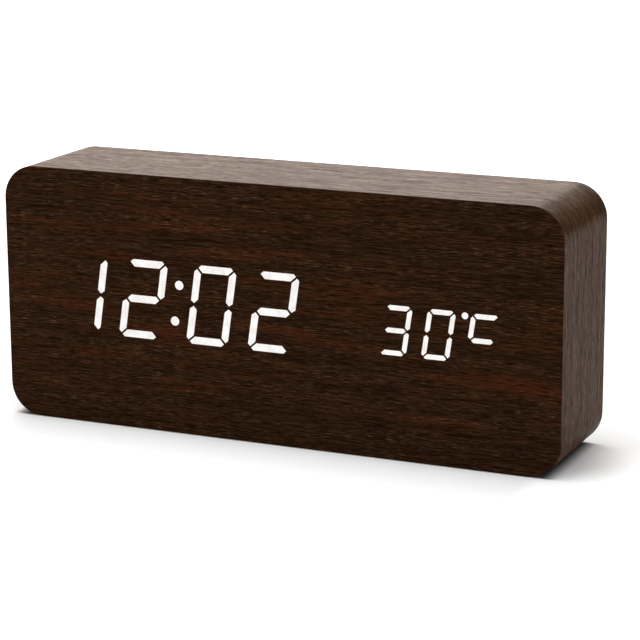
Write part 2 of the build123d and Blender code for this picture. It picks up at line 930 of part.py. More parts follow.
def battery_contacts():
    """Contact plates: single ones at the two ends of the chain and wide ones that join cells."""
    heights = cell_heights()
    half = contact_width / 2
    plates = [contact_plate(1, heights[0] - half, heights[0] + half),
              contact_plate(1, heights[-1] - half, heights[-1] + half),
              contact_plate(1, heights[1] - half, heights[2] + half)]
    for low in range(0, cell_count, 2):
        plates.append(contact_plate(-1, heights[low] - half, heights[low + 1] + half))
    return group(plates)


def spring_place(share):
    """Point and direction of the spring's wire at a share of its turns, with the spring along X."""
    base = spring_base_radius - spring_wire_radius
    narrowing = spring_tip_radius - spring_base_radius
    end_room = spring_end_gap + spring_wire_radius
    travel = spring_length - 2 * end_room
    radius = base + narrowing * share
    turn = 2 * math.pi * spring_turns
    cosine, sine = math.cos(turn * share), math.sin(turn * share)
    point = Vector(end_room + travel * share, radius * cosine, radius * sine)
    direction = Vector(travel, narrowing * cosine - radius * turn * sine,
                       narrowing * sine + radius * turn * cosine)
    return point, direction.normalized()


def biarc(start, start_way, end, end_way):
    """Two arcs that leave one point and reach another in the wanted directions."""
    chord = end - start
    along = chord.dot(start_way + end_way)
    spread = 2 * (1 - start_way.dot(end_way))
    reach = (math.sqrt(along ** 2 + spread * chord.dot(chord)) - along) / spread
    first = start + start_way * reach
    last = end - end_way * reach
    joint = (first + last) / 2
    return [TangentArc(start, joint, tangent=start_way), TangentArc(joint, end, tangent=last - first)]


def spring_coil():
    """One tapered spring along X, as one wire on two arcs for every half turn."""
    steps = 2 * spring_turns
    places = [spring_place(i / steps) for i in range(steps + 1)]
    arcs = [arc for start, end in zip(places, places[1:]) for arc in biarc(*start, *end)]
    path = Wire(arcs)
    return sweep(Plane(origin=path @ 0, z_dir=path % 0) * Circle(spring_wire_radius), path=path)


def spring_gap(points_per_turn=36):
    """The least gap between neighbouring turns of the spring, measured on points of its wire."""
    count = points_per_turn * spring_turns
    points = [spring_place(i / count)[0] for i in range(count + 1)]
    apart = points_per_turn // 2
    nearest = min((a - b).length for i, a in enumerate(points) for b in points[i + apart:])
    return nearest - 2 * spring_wire_radius


def battery_springs():
    """Tapered springs that press on the flat end of each cell."""
    coil = spring_coil()
    springs = []
    for i, z in enumerate(cell_heights()):
        turned = coil if cell_side(i) > 0 else coil.rotate(Axis.Z, 180)
        seat = cell_side(i) * (contact_thickness - bay_right)
        springs.append(Pos(seat, cell_y, z) * turned)
    return group(springs)


def control_board():
    """Small board behind the buttons and the jack, with its screw holes."""
    outline = Pos(control_x, mid_z) * RectangleRounded(control_width, control_height, board_corner)
    for x, z in control_boss_places():
        outline -= Pos(x, z) * Circle(small_screw_radius + pilot_clearance)
    return slab(outline, control_front, control_back)


def control_screws():
    """Screws that hold the control board, put in from inside the clock."""
    screws = []
    for x, z in control_boss_places():
        shank = rod(small_screw_radius, x, z, control_front, control_back + small_screw_grip)
        head = rod(small_screw_head_radius, x, z, control_front - small_screw_head_height,
                   control_front)
        top = control_front - small_screw_head_height
        screws.append(shank + head - cross_slot(x, z, top - overrun, top + cross_depth))
    return group(screws)


def switch_bodies():
    """Square bodies of the three switches, each with a round well for its plunger."""
    bodies = []
    for x, z in button_places():
        outline = Pos(x, z) * RectangleRounded(switch_side, switch_side, switch_ease)
        body = slab(outline, control_back, control_back + switch_height)
        top = control_back + switch_height
        well = rod(plunger_radius + plunger_clearance, x, z, top - plunger_well, top + overrun)
        bodies.append(body - well)
    return group(bodies)


def switch_plunger(place):
    """Round plunger of one switch."""
    x, z = place
    return rod(plunger_radius, x, z, control_back + switch_height - plunger_depth, button_back)


def button_cap(place):
    """One push button: a crowned cap, a flange behind the panel and a post on the switch."""
    x, z = place
    outer = panel_outer + button_proud
    cap = rod(button_radius, x, z, button_flange_back, outer)
    cap = fillet(cap.edges().sort_by(Axis.Y)[-1], button_crown)
    cap += rod(button_flange_radius, x, z, button_flange_back,
               button_flange_back + button_flange_height)
    return cap + rod(button_post_radius, x, z, button_back, button_flange_back)


def power_jack():
    """Socket body on the control board, with a round nose in the panel and a round bore."""
    nose_end = panel_outer - jack_nose_recess
    body = block(jack_width, jack_height, jack_x, jack_z, control_back, panel_inner)
    body += rod(jack_nose_radius, jack_x, jack_z, panel_inner, nose_end)
    return body - rod(jack_bore_radius, jack_x, jack_z, nose_end - jack_bore_depth,
                      nose_end + overrun)


def jack_pin():
    """Contact pin in the middle of the jack."""
    nose_end = panel_outer - jack_nose_recess
    return rod(jack_pin_radius, jack_x, jack_z, nose_end - jack_bore_depth,
               nose_end - jack_pin_recess)


def microphone():
    """Small round microphone in its ring behind the panel."""
    return rod(microphone_radius, microphone_x, microphone_z,
               panel_inner - microphone_height, panel_inner)


def microphone_wires():
    """Two short wires from the microphone down to the control board."""
    wires = []
    back = panel_inner - microphone_height
    landing = mid_z + control_height / 2 - wire_landing
    for side in (-1, 1):
        x = microphone_x + side * sensor_lead_pitch
        points = [(x, back, microphone_z), (x, back - wire_dip, microphone_z),
                  (x, back - wire_dip, landing), (x, control_back, landing)]
        wires.append(tube(points, sensor_lead_radius, sensor_lead_pitch / 2))
    return group(wires)


def temperature_sensor():
    """Small bead behind the slots of the panel, on two leads from the control board."""
    y = panel_inner - sensor_bead_gap - sensor_bead_radius
    landing = mid_z - control_height / 2 + sensor_lead_landing
    bead = Pos(microphone_x, y, sensor_z) * Sphere(sensor_bead_radius)
    for side in (-1, 1):
        x = microphone_x + side * sensor_bead_radius / 2
        points = [(x, y, sensor_z), (x, y, landing), (x, control_back, landing)]
        bead += tube(points, sensor_lead_radius, sensor_lead_pitch / 2)
    return bead


def socket(x, z, y_board, side):
    """Open plug socket on one face of a board; side is 1 when it points to the back."""
    ends = sorted((y_board, y_board + side * socket_height))
    floor = y_board + side * socket_floor
    pocket = sorted((floor, y_board + side * (socket_height + overrun)))
    shell = block(socket_width, socket_length, x, z, *ends)
    return shell - block(socket_width - 2 * socket_wall, socket_length - 2 * socket_wall, x, z,
                         *pocket)


def plug(x, z, y_board, side):
    """Plug that sits in a socket and stands a little proud of it."""
    inset = 2 * (socket_wall + seat_clearance)
    ends = sorted((y_board + side * socket_floor, y_board + side * (socket_height + plug_proud)))
    return block(socket_width - inset, socket_length - inset, x, z, *ends)


def ribbon_ends():
    """Both ends of the ribbon: X, Z, the board's face and the way the plug points."""
    z = mid_z - ribbon_drop
    return ((ribbon_display_right, z, board_back, 1),
            (control_left + ribbon_control_right, z, control_front, -1))


def ribbon_sockets():
    """One socket on each board."""
    return group([socket(*end) for end in ribbon_ends()])


def ribbon_plugs():
    """One plug in each socket."""
    return group([plug(*end) for end in ribbon_ends()])


def ribbon_cable():
    """Flat cable that crosses from one plug to the other in two bends."""
    (x1, z, board1, side1), (x2, _, board2, side2) = ribbon_ends()
    start = board1 + side1 * (socket_height + plug_proud)
    end = board2 + side2 * (socket_height + plug_proud)
    middle = (start + end) / 2
    path = FilletPolyline((x1, start, z), (x1, middle, z), (x2, middle, z), (x2, end, z),
                          radius=(end - start) * ribbon_bend_share)
    section = Plane(origin=path @ 0, x_dir=(1, 0, 0), z_dir=path % 0)
    return sweep(section * Rectangle(ribbon_thickness, ribbon_width), path=path)


def battery_wires():
    """Two wires from the end contacts of the bay to the control board."""
    wires = []
    heights = cell_heights()
    start_x = bay_right + bay_wall
    landing_x = control_left + wire_landing
    y = control_front - wire_dip
    for z in (heights[0], heights[-1]):
        turn_z = z + math.copysign(wire_run, mid_z - z)
        points = [(start_x, y, z), (start_x + wire_run, y, z), (landing_x, y, turn_z),
                  (landing_x, control_front, turn_z)]
        wires.append(tube(points, wire_radius, wire_bend))
    return group(wires)


def build_nodes():
    """Every piece of the clock under its own name."""
    time = time_display()
    temperature = temperature_display()
    nodes = {
        "case_front": case_front(),
        "case_ring": case_ring(),
        "front_veneer": front_veneer(),
        "wrap_veneer": wrap_veneer(),
        "bottom_veneer": bottom_veneer(),
        "rear_veneer": rear_veneer(),
        "time_lit_segments": lit_segments(time),
        "time_dark_segments": dark_segments(time),
        "time_reflector": reflector(time),
        "temperature_lit_segments": lit_segments(temperature),
        "temperature_dark_segments": dark_segments(temperature),
        "temperature_reflector": reflector(temperature),
        "display_board": display_board(),
        "segment_leds": segment_leds(),
        "board_spacers": board_spacers(),
        "board_screws": board_screws(),
        "controller_chip": controller_chip(),
        "clock_crystal": clock_crystal(),
        "piezo_buzzer": piezo_buzzer(),
        "coin_cell_holder": coin_cell_holder(),
        "coin_cell": coin_cell(),
        "board_capacitors": board_capacitors(),
        "board_resistors": board_resistors(),
        "rear_panel": rear_panel(),
        "panel_screws": panel_screws(),
        "battery_bay": battery_bay(),
        "battery_door": battery_door(),
        "door_latch": door_latch(),
        "battery_cells": battery_cells(),
        "battery_contacts": battery_contacts(),
        "battery_springs": battery_springs(),
        "battery_wires": battery_wires(),
        "control_board": control_board(),
        "control_screws": control_screws(),
        "switch_bodies": switch_bodies(),
        "power_jack": power_jack(),
        "jack_pin": jack_pin(),
        "microphone": microphone(),
        "microphone_wires": microphone_wires(),
        "temperature_sensor": temperature_sensor(),
        "ribbon_sockets": ribbon_sockets(),
        "ribbon_plugs": ribbon_plugs(),
        "ribbon_cable": ribbon_cable(),
    }
    for name, place in zip(("set", "up", "down"), button_places()):
        nodes[name + "_button"] = button_cap(place)
        nodes[name + "_plunger"] = switch_plunger(place)
    return nodes


print(f"battery springs: least gap between turns {spring_gap():.2f} mm")
for node_name, shape in build_nodes().items():
    export_step(shape, f"parts/{node_name}.step")
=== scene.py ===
"""Scene of a wooden desk clock whose lit figures shine through its front.

The clock stands on a pale floor. Every carried-over solid is dressed with its own finish, and the
pieces that a plain solid can't show well are modelled here on the same places. Metres, X to the
right as seen from the front, Y from the front to the back, Z up.
"""
import logging
import math
from contextlib import contextmanager
from dataclasses import astuple, dataclass, field
from enum import Enum
from typing import Any, Iterator, Mapping, Optional, Sequence, Union

import bpy
from bpy.types import ColorRamp, Material, Node, NodeSocket, NodeTree, Object
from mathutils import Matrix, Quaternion, Vector

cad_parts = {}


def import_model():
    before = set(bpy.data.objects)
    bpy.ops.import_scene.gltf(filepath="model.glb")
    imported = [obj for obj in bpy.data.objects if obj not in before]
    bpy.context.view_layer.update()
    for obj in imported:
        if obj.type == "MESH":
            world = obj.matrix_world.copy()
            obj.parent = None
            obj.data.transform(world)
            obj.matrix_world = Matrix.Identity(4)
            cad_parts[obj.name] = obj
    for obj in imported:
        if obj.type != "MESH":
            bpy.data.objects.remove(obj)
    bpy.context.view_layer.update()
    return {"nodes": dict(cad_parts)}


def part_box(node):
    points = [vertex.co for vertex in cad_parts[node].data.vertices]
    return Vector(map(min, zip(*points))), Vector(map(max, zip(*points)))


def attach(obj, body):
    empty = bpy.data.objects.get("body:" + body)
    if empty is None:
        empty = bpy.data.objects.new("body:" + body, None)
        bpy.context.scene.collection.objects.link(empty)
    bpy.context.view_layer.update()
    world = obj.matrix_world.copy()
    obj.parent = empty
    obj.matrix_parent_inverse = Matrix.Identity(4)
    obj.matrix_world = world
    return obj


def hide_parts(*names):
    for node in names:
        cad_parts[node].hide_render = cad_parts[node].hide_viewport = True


LOG = logging.getLogger("desk_clock")

MM = 0.001
TUBE_ANGLE = 50.0

Colour = tuple[float, float, float, float]
Number = Union["Signal", float]
Link = Union["Signal", NodeSocket]


def paint(code: str) -> Colour:
    """Turn a colour as it is seen into the linear colour that a shader takes.

    Args:
        code: Red, green and blue as six hexadecimal digits after a hash.

    Returns:
        The linear colour with full opacity.
    """
    parts = [int(code[i:i + 2], 16) / 255 for i in (1, 3, 5)]
    linear = [c / 12.92 if c <= 0.04045 else ((c + 0.055) / 1.055) ** 2.4 for c in parts]
    return (linear[0], linear[1], linear[2], 1.0)


class Signal:
    """A number that varies over a surface, carried by one output of a node."""

    def __init__(self, sheet: "Sheet", socket: NodeSocket) -> None:
        """Keep the sheet that the node is on and the output that carries the number."""
        self.sheet = sheet
        self.socket = socket

    def _with(self, operation: str, *others: Number) -> "Signal":
        """Combine this number with others through one Math node."""
        return self.sheet.maths(operation, self, *others)

    def __add__(self, other: Number) -> "Signal":
        """Sum."""
        return self._with("ADD", other)

    __radd__ = __add__

    def __sub__(self, other: Number) -> "Signal":
        """Difference."""
        return self._with("SUBTRACT", other)

    def __rsub__(self, other: float) -> "Signal":
        """Difference from a plain number."""
        return self.sheet.maths("SUBTRACT", other, self)

    def __mul__(self, other: Number) -> "Signal":
        """Product."""
        return self._with("MULTIPLY", other)

    __rmul__ = __mul__

    def __abs__(self) -> "Signal":
        """Size without its sign."""
        return self._with("ABSOLUTE")

    @property
    def centred(self) -> "Signal":
        """A pattern about one half, moved to lie about zero."""
        return self - 0.5

    def clamped(self, low: Number, high: Number) -> "Signal":
        """Keep the number between two bounds."""
        return self._with("MAXIMUM", low)._with("MINIMUM", high)

    def most(self, other: Number) -> "Signal":
        """The larger of two numbers."""
        return self._with("MAXIMUM", other)

    def sign(self) -> "Signal":
        """One with the number's sign."""
        return self._with("SIGN")

    def repeated(self, pitch: float) -> "Signal":
        """The number folded into one pitch around zero."""
        return self._with("WRAP", pitch / 2, -pitch / 2)

    def rise(self, low: float, high: float) -> "Signal":
        """Go smoothly from 0 to 1 between two bounds, or from 1 to 0 when low is above high.

        Args:
            low: Where the result is 0.
            high: Where the result is 1.

        Returns:
            The smooth step.
        """
        if low > high:
            return 1 - self.rise(high, low)
        made = self.sheet.node(
            "ShaderNodeMapRange", {"interpolation_type": "SMOOTHSTEP"},
            {"Value": self, "From Min": low, "From Max": high})
        return Signal(self.sheet, made.outputs["Result"])


class Sheet:
    """A sheet of shader nodes."""

    def __init__(self, tree: NodeTree) -> None:
        """Start with this node tree, emptied."""
        self.tree = tree
        self.tree.nodes.clear()

    def node(self, kind: str, settings: Optional[Mapping[str, Any]] = None,
             inputs: Optional[Mapping[Union[str, int], Any]] = None) -> Node:
        """Add any node.

        Args:
            kind: The node's type.
            settings: Its own settings, set first; "stops" gives a ramp its places and colours.
            inputs: Values or links of its sockets, by name or number.

        Returns:
            The new node.
        """
        made = self.tree.nodes.new(kind)
        for name, value in (settings or {}).items():
            if name == "stops":
                self._set_stops(made.color_ramp, value)
            else:
                setattr(made, name, value)
        for key, value in (inputs or {}).items():
            self.feed(made.inputs[key], value)
        return made

    @staticmethod
    def _set_stops(ramp: ColorRamp, stops: Sequence[tuple[float, Colour]]) -> None:
        """Give a ramp its stops.

        Args:
            ramp: The ramp to fill.
            stops: Places from 0 to 1 with their colours, in rising order.
        """
        while len(ramp.elements) < len(stops):
            ramp.elements.new(1.0)
        for element, (place, colour) in zip(ramp.elements, stops):
            element.position = place
            element.color = colour

    def link(self, source: NodeSocket, target: NodeSocket) -> None:
        """Join two sockets."""
        self.tree.links.new(source, target)

    def feed(self, socket: NodeSocket, value: Any) -> None:
        """Link a socket to what carries its value, or set the value on it.

        Args:
            socket: The input to fill.
            value: A signal, another socket or a plain value.
        """
        if isinstance(value, Signal):
            self.link(value.socket, socket)
        elif isinstance(value, NodeSocket):
            self.link(value, socket)
        else:
            socket.default_value = value

    def maths(self, operation: str, *terms: Number) -> Signal:
        """What one Math node works out from its terms."""
        made = self.node("ShaderNodeMath", {"operation": operation}, dict(enumerate(terms)))
        return Signal(self, made.outputs[0])

    def vector(self, x: Number, y: Number,
               z: Number = 0.0) -> NodeSocket:
        """Three numbers as one vector."""
        return self.node("ShaderNodeCombineXYZ", inputs={0: x, 1: y, 2: z}).outputs[0]

    def noise(self, where: Link, scale: float, detail: float = 2.0, rough: float = 0.5,
              distortion: float = 0.0) -> Signal:
        """Soft random pattern about one half.

        Args:
            where: The coordinates that it is drawn on.
            scale: How many features fit in one unit.
            detail: How many finer layers it has.
            rough: How strong the finer layers are.
            distortion: How far it is stirred.

        Returns:
            The pattern, from 0 to 1.
        """
        made = self.node("ShaderNodeTexNoise", {}, {
            "Vector": where, "Scale": scale, "Detail": detail, "Roughness": rough,
            "Distortion": distortion})
        return Signal(self, made.outputs[0])

    def cells(self, where: Link, scale: float) -> Signal:
        """Distances to the middles of random cells."""
        made = self.node("ShaderNodeTexVoronoi", {}, {"Vector": where, "Scale": scale})
        return Signal(self, made.outputs["Distance"])

    def mix(self, share: Number, first: Union[Link, Colour],
            second: Union[Link, Colour]) -> NodeSocket:
        """Blend two colours, the second with this share."""
        made = self.node("ShaderNodeMix", {"data_type": "RGBA"}, {0: share, 6: first, 7: second})
        return made.outputs[2]

    def ramp(self, value: Signal, stops: Sequence[tuple[float, Colour]]) -> NodeSocket:
        """Colours along a rising value."""
        made = self.node("ShaderNodeValToRGB", {"stops": stops}, {"Fac": value})
        return made.outputs["Color"]

    def bump(self, height: Signal, depth: float, strength: float = 1.0) -> NodeSocket:
        """Raise and lower the surface by a relief that is so many metres deep."""
        made = self.node("ShaderNodeBump", {}, {
            "Strength": strength, "Distance": depth, "Height": height})
        return made.outputs["Normal"]


class Recipe(Sheet):
    """The nodes of one material, built up around a Principled shader."""

    def __init__(self, name: str) -> None:
        """Start an empty material.

        Args:
            name: What the material is called.
        """
        self.material = bpy.data.materials.new(name)
        self.material.use_nodes = True
        super().__init__(self.material.node_tree)
        self.output = self.node("ShaderNodeOutputMaterial")
        self.shader = self.node("ShaderNodeBsdfPrincipled")
        self.link(self.shader.outputs["BSDF"], self.output.inputs["Surface"])
        self.place = self.node("ShaderNodeTexCoord").outputs["Object"]

    def axes(self) -> tuple[Signal, Signal, Signal]:
        """The place on the object along X, Y and Z."""
        split = self.node("ShaderNodeSeparateXYZ", inputs={0: self.place})
        return tuple(Signal(self, split.outputs[i]) for i in range(3))

    def finish(self, **sockets: Any) -> Material:
        """Set the shader's sockets and hand over the material.

        Args:
            sockets: Values or links by socket name, with underscores for spaces.

        Returns:
            The finished material.
        """
        for name, value in sockets.items():
            self.feed(self.shader.inputs[name.replace("_", " ")], value)
        return self.material


@dataclass(frozen=True)
class Finish:
    """What every finish has: a name, and a method that makes its material."""

    name: str

    def build(self) -> Material:
        """Make the material."""
        raise NotImplementedError(self.name)


class Grain(Enum):
    """Which way the grain of a wooden sheet runs."""

    ALONG_WIDTH = "along the width"
    ROUND_THE_BAND = "along the band that goes round the case"


@dataclass(frozen=True)
class Outline:
    """The rounded rectangle that the case shows from the front."""

    half_width: float
    height: float
    corner: float

    @property
    def reach(self) -> float:
        """How far the flat top goes to either side."""
        return self.half_width - self.corner


@dataclass(frozen=True)
class Layer:
    """One random pattern of the grain, in features per metre along it and across it."""

    along: float
    across: float
    seed: float = 0.0
    detail: float = 2.0
    rough: float = 0.5

    def draw(self, recipe: Recipe, along: Signal, across: Signal, finer: float = 1.0) -> Signal:
        """The pattern from 0 to 1, with its features so much finer across the grain."""
        where = recipe.vector(along * self.along, across * (self.across * finer), self.seed)
        return recipe.noise(where, 1.0, self.detail, self.rough)


WANDER = Layer(10.0, 30.0, detail=1.0)
FIBRES = Layer(235.0, 3200.0, rough=0.6)
STREAKS = Layer(62.0, 2000.0, seed=2.0, rough=0.6)
BANDS = Layer(14.0, 240.0, seed=5.0, detail=3.0, rough=0.6)
SPECKS = Layer(260.0, 3600.0, seed=3.0, detail=1.0)
FLAMES = Layer(17.0, 190.0, seed=7.0, detail=4.0, rough=0.62)
CLOUDS = Layer(7.0, 26.0, seed=11.0)


@dataclass(frozen=True)
class Palette:
    """The colours of a veneer as they are seen."""

    dark: str = "#150b03"
    middle: str = "#2b1a0d"
    light: str = "#4a2f1c"
    pale: str = "#7d5d42"
    red: str = "#532813"


FRESH = Palette()
# Painted light: the face's veneer painted lighter, standing in for light that falls on the band
# round the top and sides; the bottom veneer takes it too.
PAINTED_LIGHT_PALETTE = Palette(dark="#291b0f", middle="#473322", light="#674b36", pale="#897059", red="#5c3b26")


@dataclass(frozen=True)
class Veneer(Finish):
    """Dark open-grained veneer with a satin finish."""

    grain: Grain
    outline: Outline
    palette: Palette = FRESH
    roughness: float = 0.5
    sheen: float = 0.2
    sheen_ior: float = 1.17
    sheen_swing: float = 1.5
    contrast: float = 0.8
    coarseness: float = 0.42
    fineness: float = 1.0
    patches: float = 0.66
    flecks: float = 0.6
    pores: float = 0.7
    wander: float = 0.9 * MM
    mid_tone: float = 0.43
    middle_at: float = 0.45
    corner_shade: float = 0.0
    corner_shade_dark: float = 0.25
    depth: float = 0.05 * MM
    bump_share: float = 0.3

    def _shaded_corner(self, along: Signal) -> Signal:
        """Mark the lower half of the band's rounded top corners, where shade is painted.

        Args:
            along: The distance along the band.

        Returns:
            1 on the painted shade, where the coat is thinner and the wood darker, and 0 on the
            flat sides.
        """
        arc = self.outline.corner * math.pi / 2
        share = (abs(along) - self.outline.reach) * (1 / arc)
        return share.rise(0.22, 0.7) * share.rise(0.98, 0.78)

    def _run(self, recipe: Recipe) -> tuple[Signal, Signal]:
        """How far a point lies along the grain and across it.

        Args:
            recipe: The material that is being built.

        Returns:
            The distance along the grain and the distance across it, in metres.
        """
        x, y, z = recipe.axes()
        if self.grain is Grain.ALONG_WIDTH:
            return x, z + y
        reach, top = self.outline.reach, self.outline.height - self.outline.corner
        held_x = x.clamped(-reach, reach)
        held_z = z.clamped(self.outline.corner, top)
        turn = recipe.maths("ARCTAN2", abs(x - held_x), z - held_z)
        down = top - held_z
        run = abs(held_x) + turn * self.outline.corner + down
        return run * x.sign(), y

    def build(self) -> Material:
        """Make the material."""
        recipe = Recipe(self.name)
        along, across = self._run(recipe)
        across = across + WANDER.draw(recipe, along, across).centred * self.wander
        fibres = FIBRES.draw(recipe, along, across, self.fineness)
        streaks = STREAKS.draw(recipe, along, across, self.fineness)
        bands, specks, flames, clouds = (layer.draw(recipe, along, across)
                                         for layer in (BANDS, SPECKS, FLAMES, CLOUDS))
        strands = bands.centred * self.coarseness
        swing = fibres.centred * 2.5 + streaks.centred * 2.2 + strands
        tone = swing * self.contrast + self.mid_tone
        dark, middle, light, pale, red = (paint(code) for code in astuple(self.palette))
        wood = recipe.ramp(tone, [(0.0, dark), (self.middle_at, middle), (1.0, light)])
        glow = flames.rise(0.47, 0.66) * clouds.rise(0.36, 0.56) * (tone * 1.5 - 0.02)
        wood = recipe.mix((glow * self.patches).clamped(0.0, 0.8), wood, red)
        flecks = specks.rise(0.60, 0.74) * bands.rise(0.38, 0.62)
        wood = recipe.mix(flecks * self.flecks, wood, pale)
        pores = specks.rise(0.38, 0.28)
        wood = recipe.mix(pores * self.pores, wood, dark)
        relief = streaks * 0.4 + fibres * 0.6 - pores * 0.5
        worn = fibres.centred * 1.4 + streaks.centred * 1.6 + strands
        worn = worn - pores * 0.35 + flecks * 0.2
        sheen = (worn * self.sheen_swing + 1) * self.sheen
        # Painted shade on the rounded top corners: a thinner coat and darker wood.
        if self.corner_shade:
            lower = self._shaded_corner(along) * self.corner_shade
            sheen = sheen * (1 - lower)
            wood = recipe.mix(lower * self.corner_shade_dark, wood, dark)
        return recipe.finish(
            Base_Color=wood, Specular_IOR_Level=0.0,
            Roughness=self.roughness + fibres.centred * 0.2,
            Coat_Weight=sheen, Coat_IOR=self.sheen_ior, Coat_Roughness=self.roughness,
            Normal=recipe.bump(relief, self.depth, self.bump_share))


@dataclass(frozen=True)
class LitFigure(Finish):
    """Milky plastic that is lit from behind."""

    body: str = "#8f8f8d"
    light: str = "#f7f4f0"
    shade: str = "#e6e1dd"
    strength: float = 0.85
    roughness: float = 0.45
    mottle: float = 420.0

    def build(self) -> Material:
        """Make the material."""
        recipe = Recipe(self.name)
        cloud = recipe.noise(recipe.place, self.mottle)
        glow = recipe.mix(cloud.rise(0.36, 0.62), paint(self.shade), paint(self.light))
        return recipe.finish(
            Base_Color=paint(self.body), Roughness=self.roughness + cloud.centred * 0.2,
            Specular_IOR_Level=0.2, Emission_Color=glow, Emission_Strength=self.strength)


@dataclass(frozen=True)
class Moulded(Finish):
    """Moulded plastic with a fine texture or a smooth skin."""

    colour: str
    pale: str
    roughness: float = 0.55
    texture: float = 2600.0
    depth: float = 0.03 * MM
    gloss: float = 0.3
    mottle: float = 60.0

    def build(self) -> Material:
        """Make the material."""
        recipe = Recipe(self.name)
        grit = recipe.noise(recipe.place, self.texture, 2.0, 0.6)
        cloud = recipe.noise(recipe.place, self.mottle, 3.0, 0.6)
        colour = recipe.mix(grit.rise(0.4, 0.8) * 0.5 + cloud.rise(0.4, 0.7) * 0.25,
                            paint(self.colour), paint(self.pale))
        return recipe.finish(
            Base_Color=colour, Specular_IOR_Level=self.gloss,
            Roughness=self.roughness + cloud.centred * 0.16 + grit.centred * 0.1,
            Normal=recipe.bump(grit, self.depth, 0.6))


@dataclass(frozen=True)
class Metal(Finish):
    """Plated or bare metal with fine scratches."""

    colour: str
    worn: str
    roughness: float = 0.3
    scratches: float = 400.0
    mottle: float = 150.0
    depth: float = 0.008 * MM

    def build(self) -> Material:
        """Make the material."""
        recipe = Recipe(self.name)
        scuffs = recipe.noise(recipe.place, self.scratches, 3.0, 0.6)
        cloud = recipe.noise(recipe.place, self.mottle)
        colour = recipe.mix(cloud.rise(0.4, 0.75), paint(self.colour), paint(self.worn))
        return recipe.finish(
            Base_Color=colour, Metallic=1.0,
            Roughness=self.roughness + scuffs.centred * 0.25,
            Normal=recipe.bump(scuffs, self.depth, 0.4))


@dataclass(frozen=True)
class Fibreboard(Finish):
    """Pressed wood fibre, sawn and bare."""

    colour: str = "#a5845c"
    dark: str = "#7d6040"
    fibres: float = 1500.0
    mottle: float = 90.0
    roughness: float = 0.85
    depth: float = 0.08 * MM

    def build(self) -> Material:
        """Make the material."""
        recipe = Recipe(self.name)
        fibre = recipe.noise(recipe.place, self.fibres, 4.0, 0.7, distortion=0.6)
        cloud = recipe.noise(recipe.place, self.mottle, 3.0)
        colour = recipe.mix(fibre.rise(0.35, 0.65) * 0.7 + cloud.rise(0.3, 0.7) * 0.3,
                            paint(self.dark), paint(self.colour))
        return recipe.finish(
            Base_Color=colour, Roughness=self.roughness + fibre.centred * 0.2,
            Specular_IOR_Level=0.25, Normal=recipe.bump(fibre, self.depth, 0.7))


@dataclass(frozen=True)
class CircuitBoard(Finish):
    """Green solder mask over copper tracks, with bare pads here and there."""

    mask: str = "#0d4a25"
    track: str = "#1c6b39"
    pad: str = "#c9ccc8"
    hole: str = "#22241f"
    pitch: float = 1.9 * MM
    track_edges: tuple[float, float] = (0.34 * MM, 0.26 * MM)
    bends: float = 35.0
    fields: float = 60.0
    pads: float = 210.0
    lanes: float = 14.0
    roughness: float = 0.34
    depth: float = 0.035 * MM

    def build(self) -> Material:
        """Make the material."""
        recipe = Recipe(self.name)
        x, _, z = recipe.axes()
        bend = recipe.noise(recipe.vector(x * self.bends, z * self.bends), 1.0, 0.0)
        lane = recipe.maths("ROUND", bend.centred * self.lanes) * (0.5 * self.pitch)
        lying, standing = (abs((way + lane).repeated(self.pitch)).rise(*self.track_edges)
                           for way in (z, x))
        which = recipe.noise(recipe.vector(x * self.fields, z * self.fields, 4.0), 1.0, 0.0)
        tracks = lying * which.rise(0.50, 0.51) + standing * which.rise(0.47, 0.46)
        grid = recipe.cells(recipe.vector(x * self.pads, z * self.pads), 1.0)
        pads = grid.rise(0.16, 0.13) * which.rise(0.40, 0.44)
        hole = grid.rise(0.07, 0.05)
        colour = recipe.mix(tracks, paint(self.mask), paint(self.track))
        colour = recipe.mix(pads, colour, paint(self.pad))
        colour = recipe.mix(hole * pads, colour, paint(self.hole))
        return recipe.finish(
            Base_Color=colour, Metallic=pads * 0.8, Roughness=self.roughness + pads * 0.1,
            Normal=recipe.bump(tracks + pads, self.depth, 0.6))


@dataclass(frozen=True)
class CellJacket(Finish):
    """Plain two-colour jacket of a round cell, with bare steel at both ends."""

    toward_right: bool
    tip: float
    length: float
    bare_tip: float
    bare_base: float
    body: str = "#141518"
    cap: str = "#b07a35"
    line: str = "#d9cfb4"
    steel: str = "#b9bab8"
    dust: str = "#6d6b66"
    cap_share: float = 0.3
    line_gap: float = 0.5 * MM
    line_edges: tuple[float, float] = (0.3 * MM, 0.24 * MM)
    edge: float = 0.02 * MM

    def build(self) -> Material:
        """Make the material."""
        recipe = Recipe(self.name)
        x, _, _ = recipe.axes()
        from_tip = (self.tip - x) if self.toward_right else (x + self.tip)
        end = self.length - self.bare_base
        bare = from_tip.rise(self.bare_tip + self.edge, self.bare_tip).most(
            from_tip.rise(end, end + self.edge))
        split = self.length * self.cap_share
        capped = from_tip.rise(split, split - 5 * self.edge)
        lined = abs(from_tip - split - self.line_gap).rise(*self.line_edges)
        scuff = recipe.noise(recipe.place, 900.0, 3.0, 0.6)
        jacket = recipe.mix(capped, paint(self.body), paint(self.cap))
        jacket = recipe.mix(lined, jacket, paint(self.line))
        jacket = recipe.mix(scuff.rise(0.6, 0.8) * 0.2, jacket, paint(self.dust))
        colour = recipe.mix(bare, jacket, paint(self.steel))
        return recipe.finish(
            Base_Color=colour, Metallic=bare.most(capped * 0.75),
            Roughness=0.3 + scuff.centred * 0.2, Normal=recipe.bump(scuff, 0.01 * MM, 0.4))


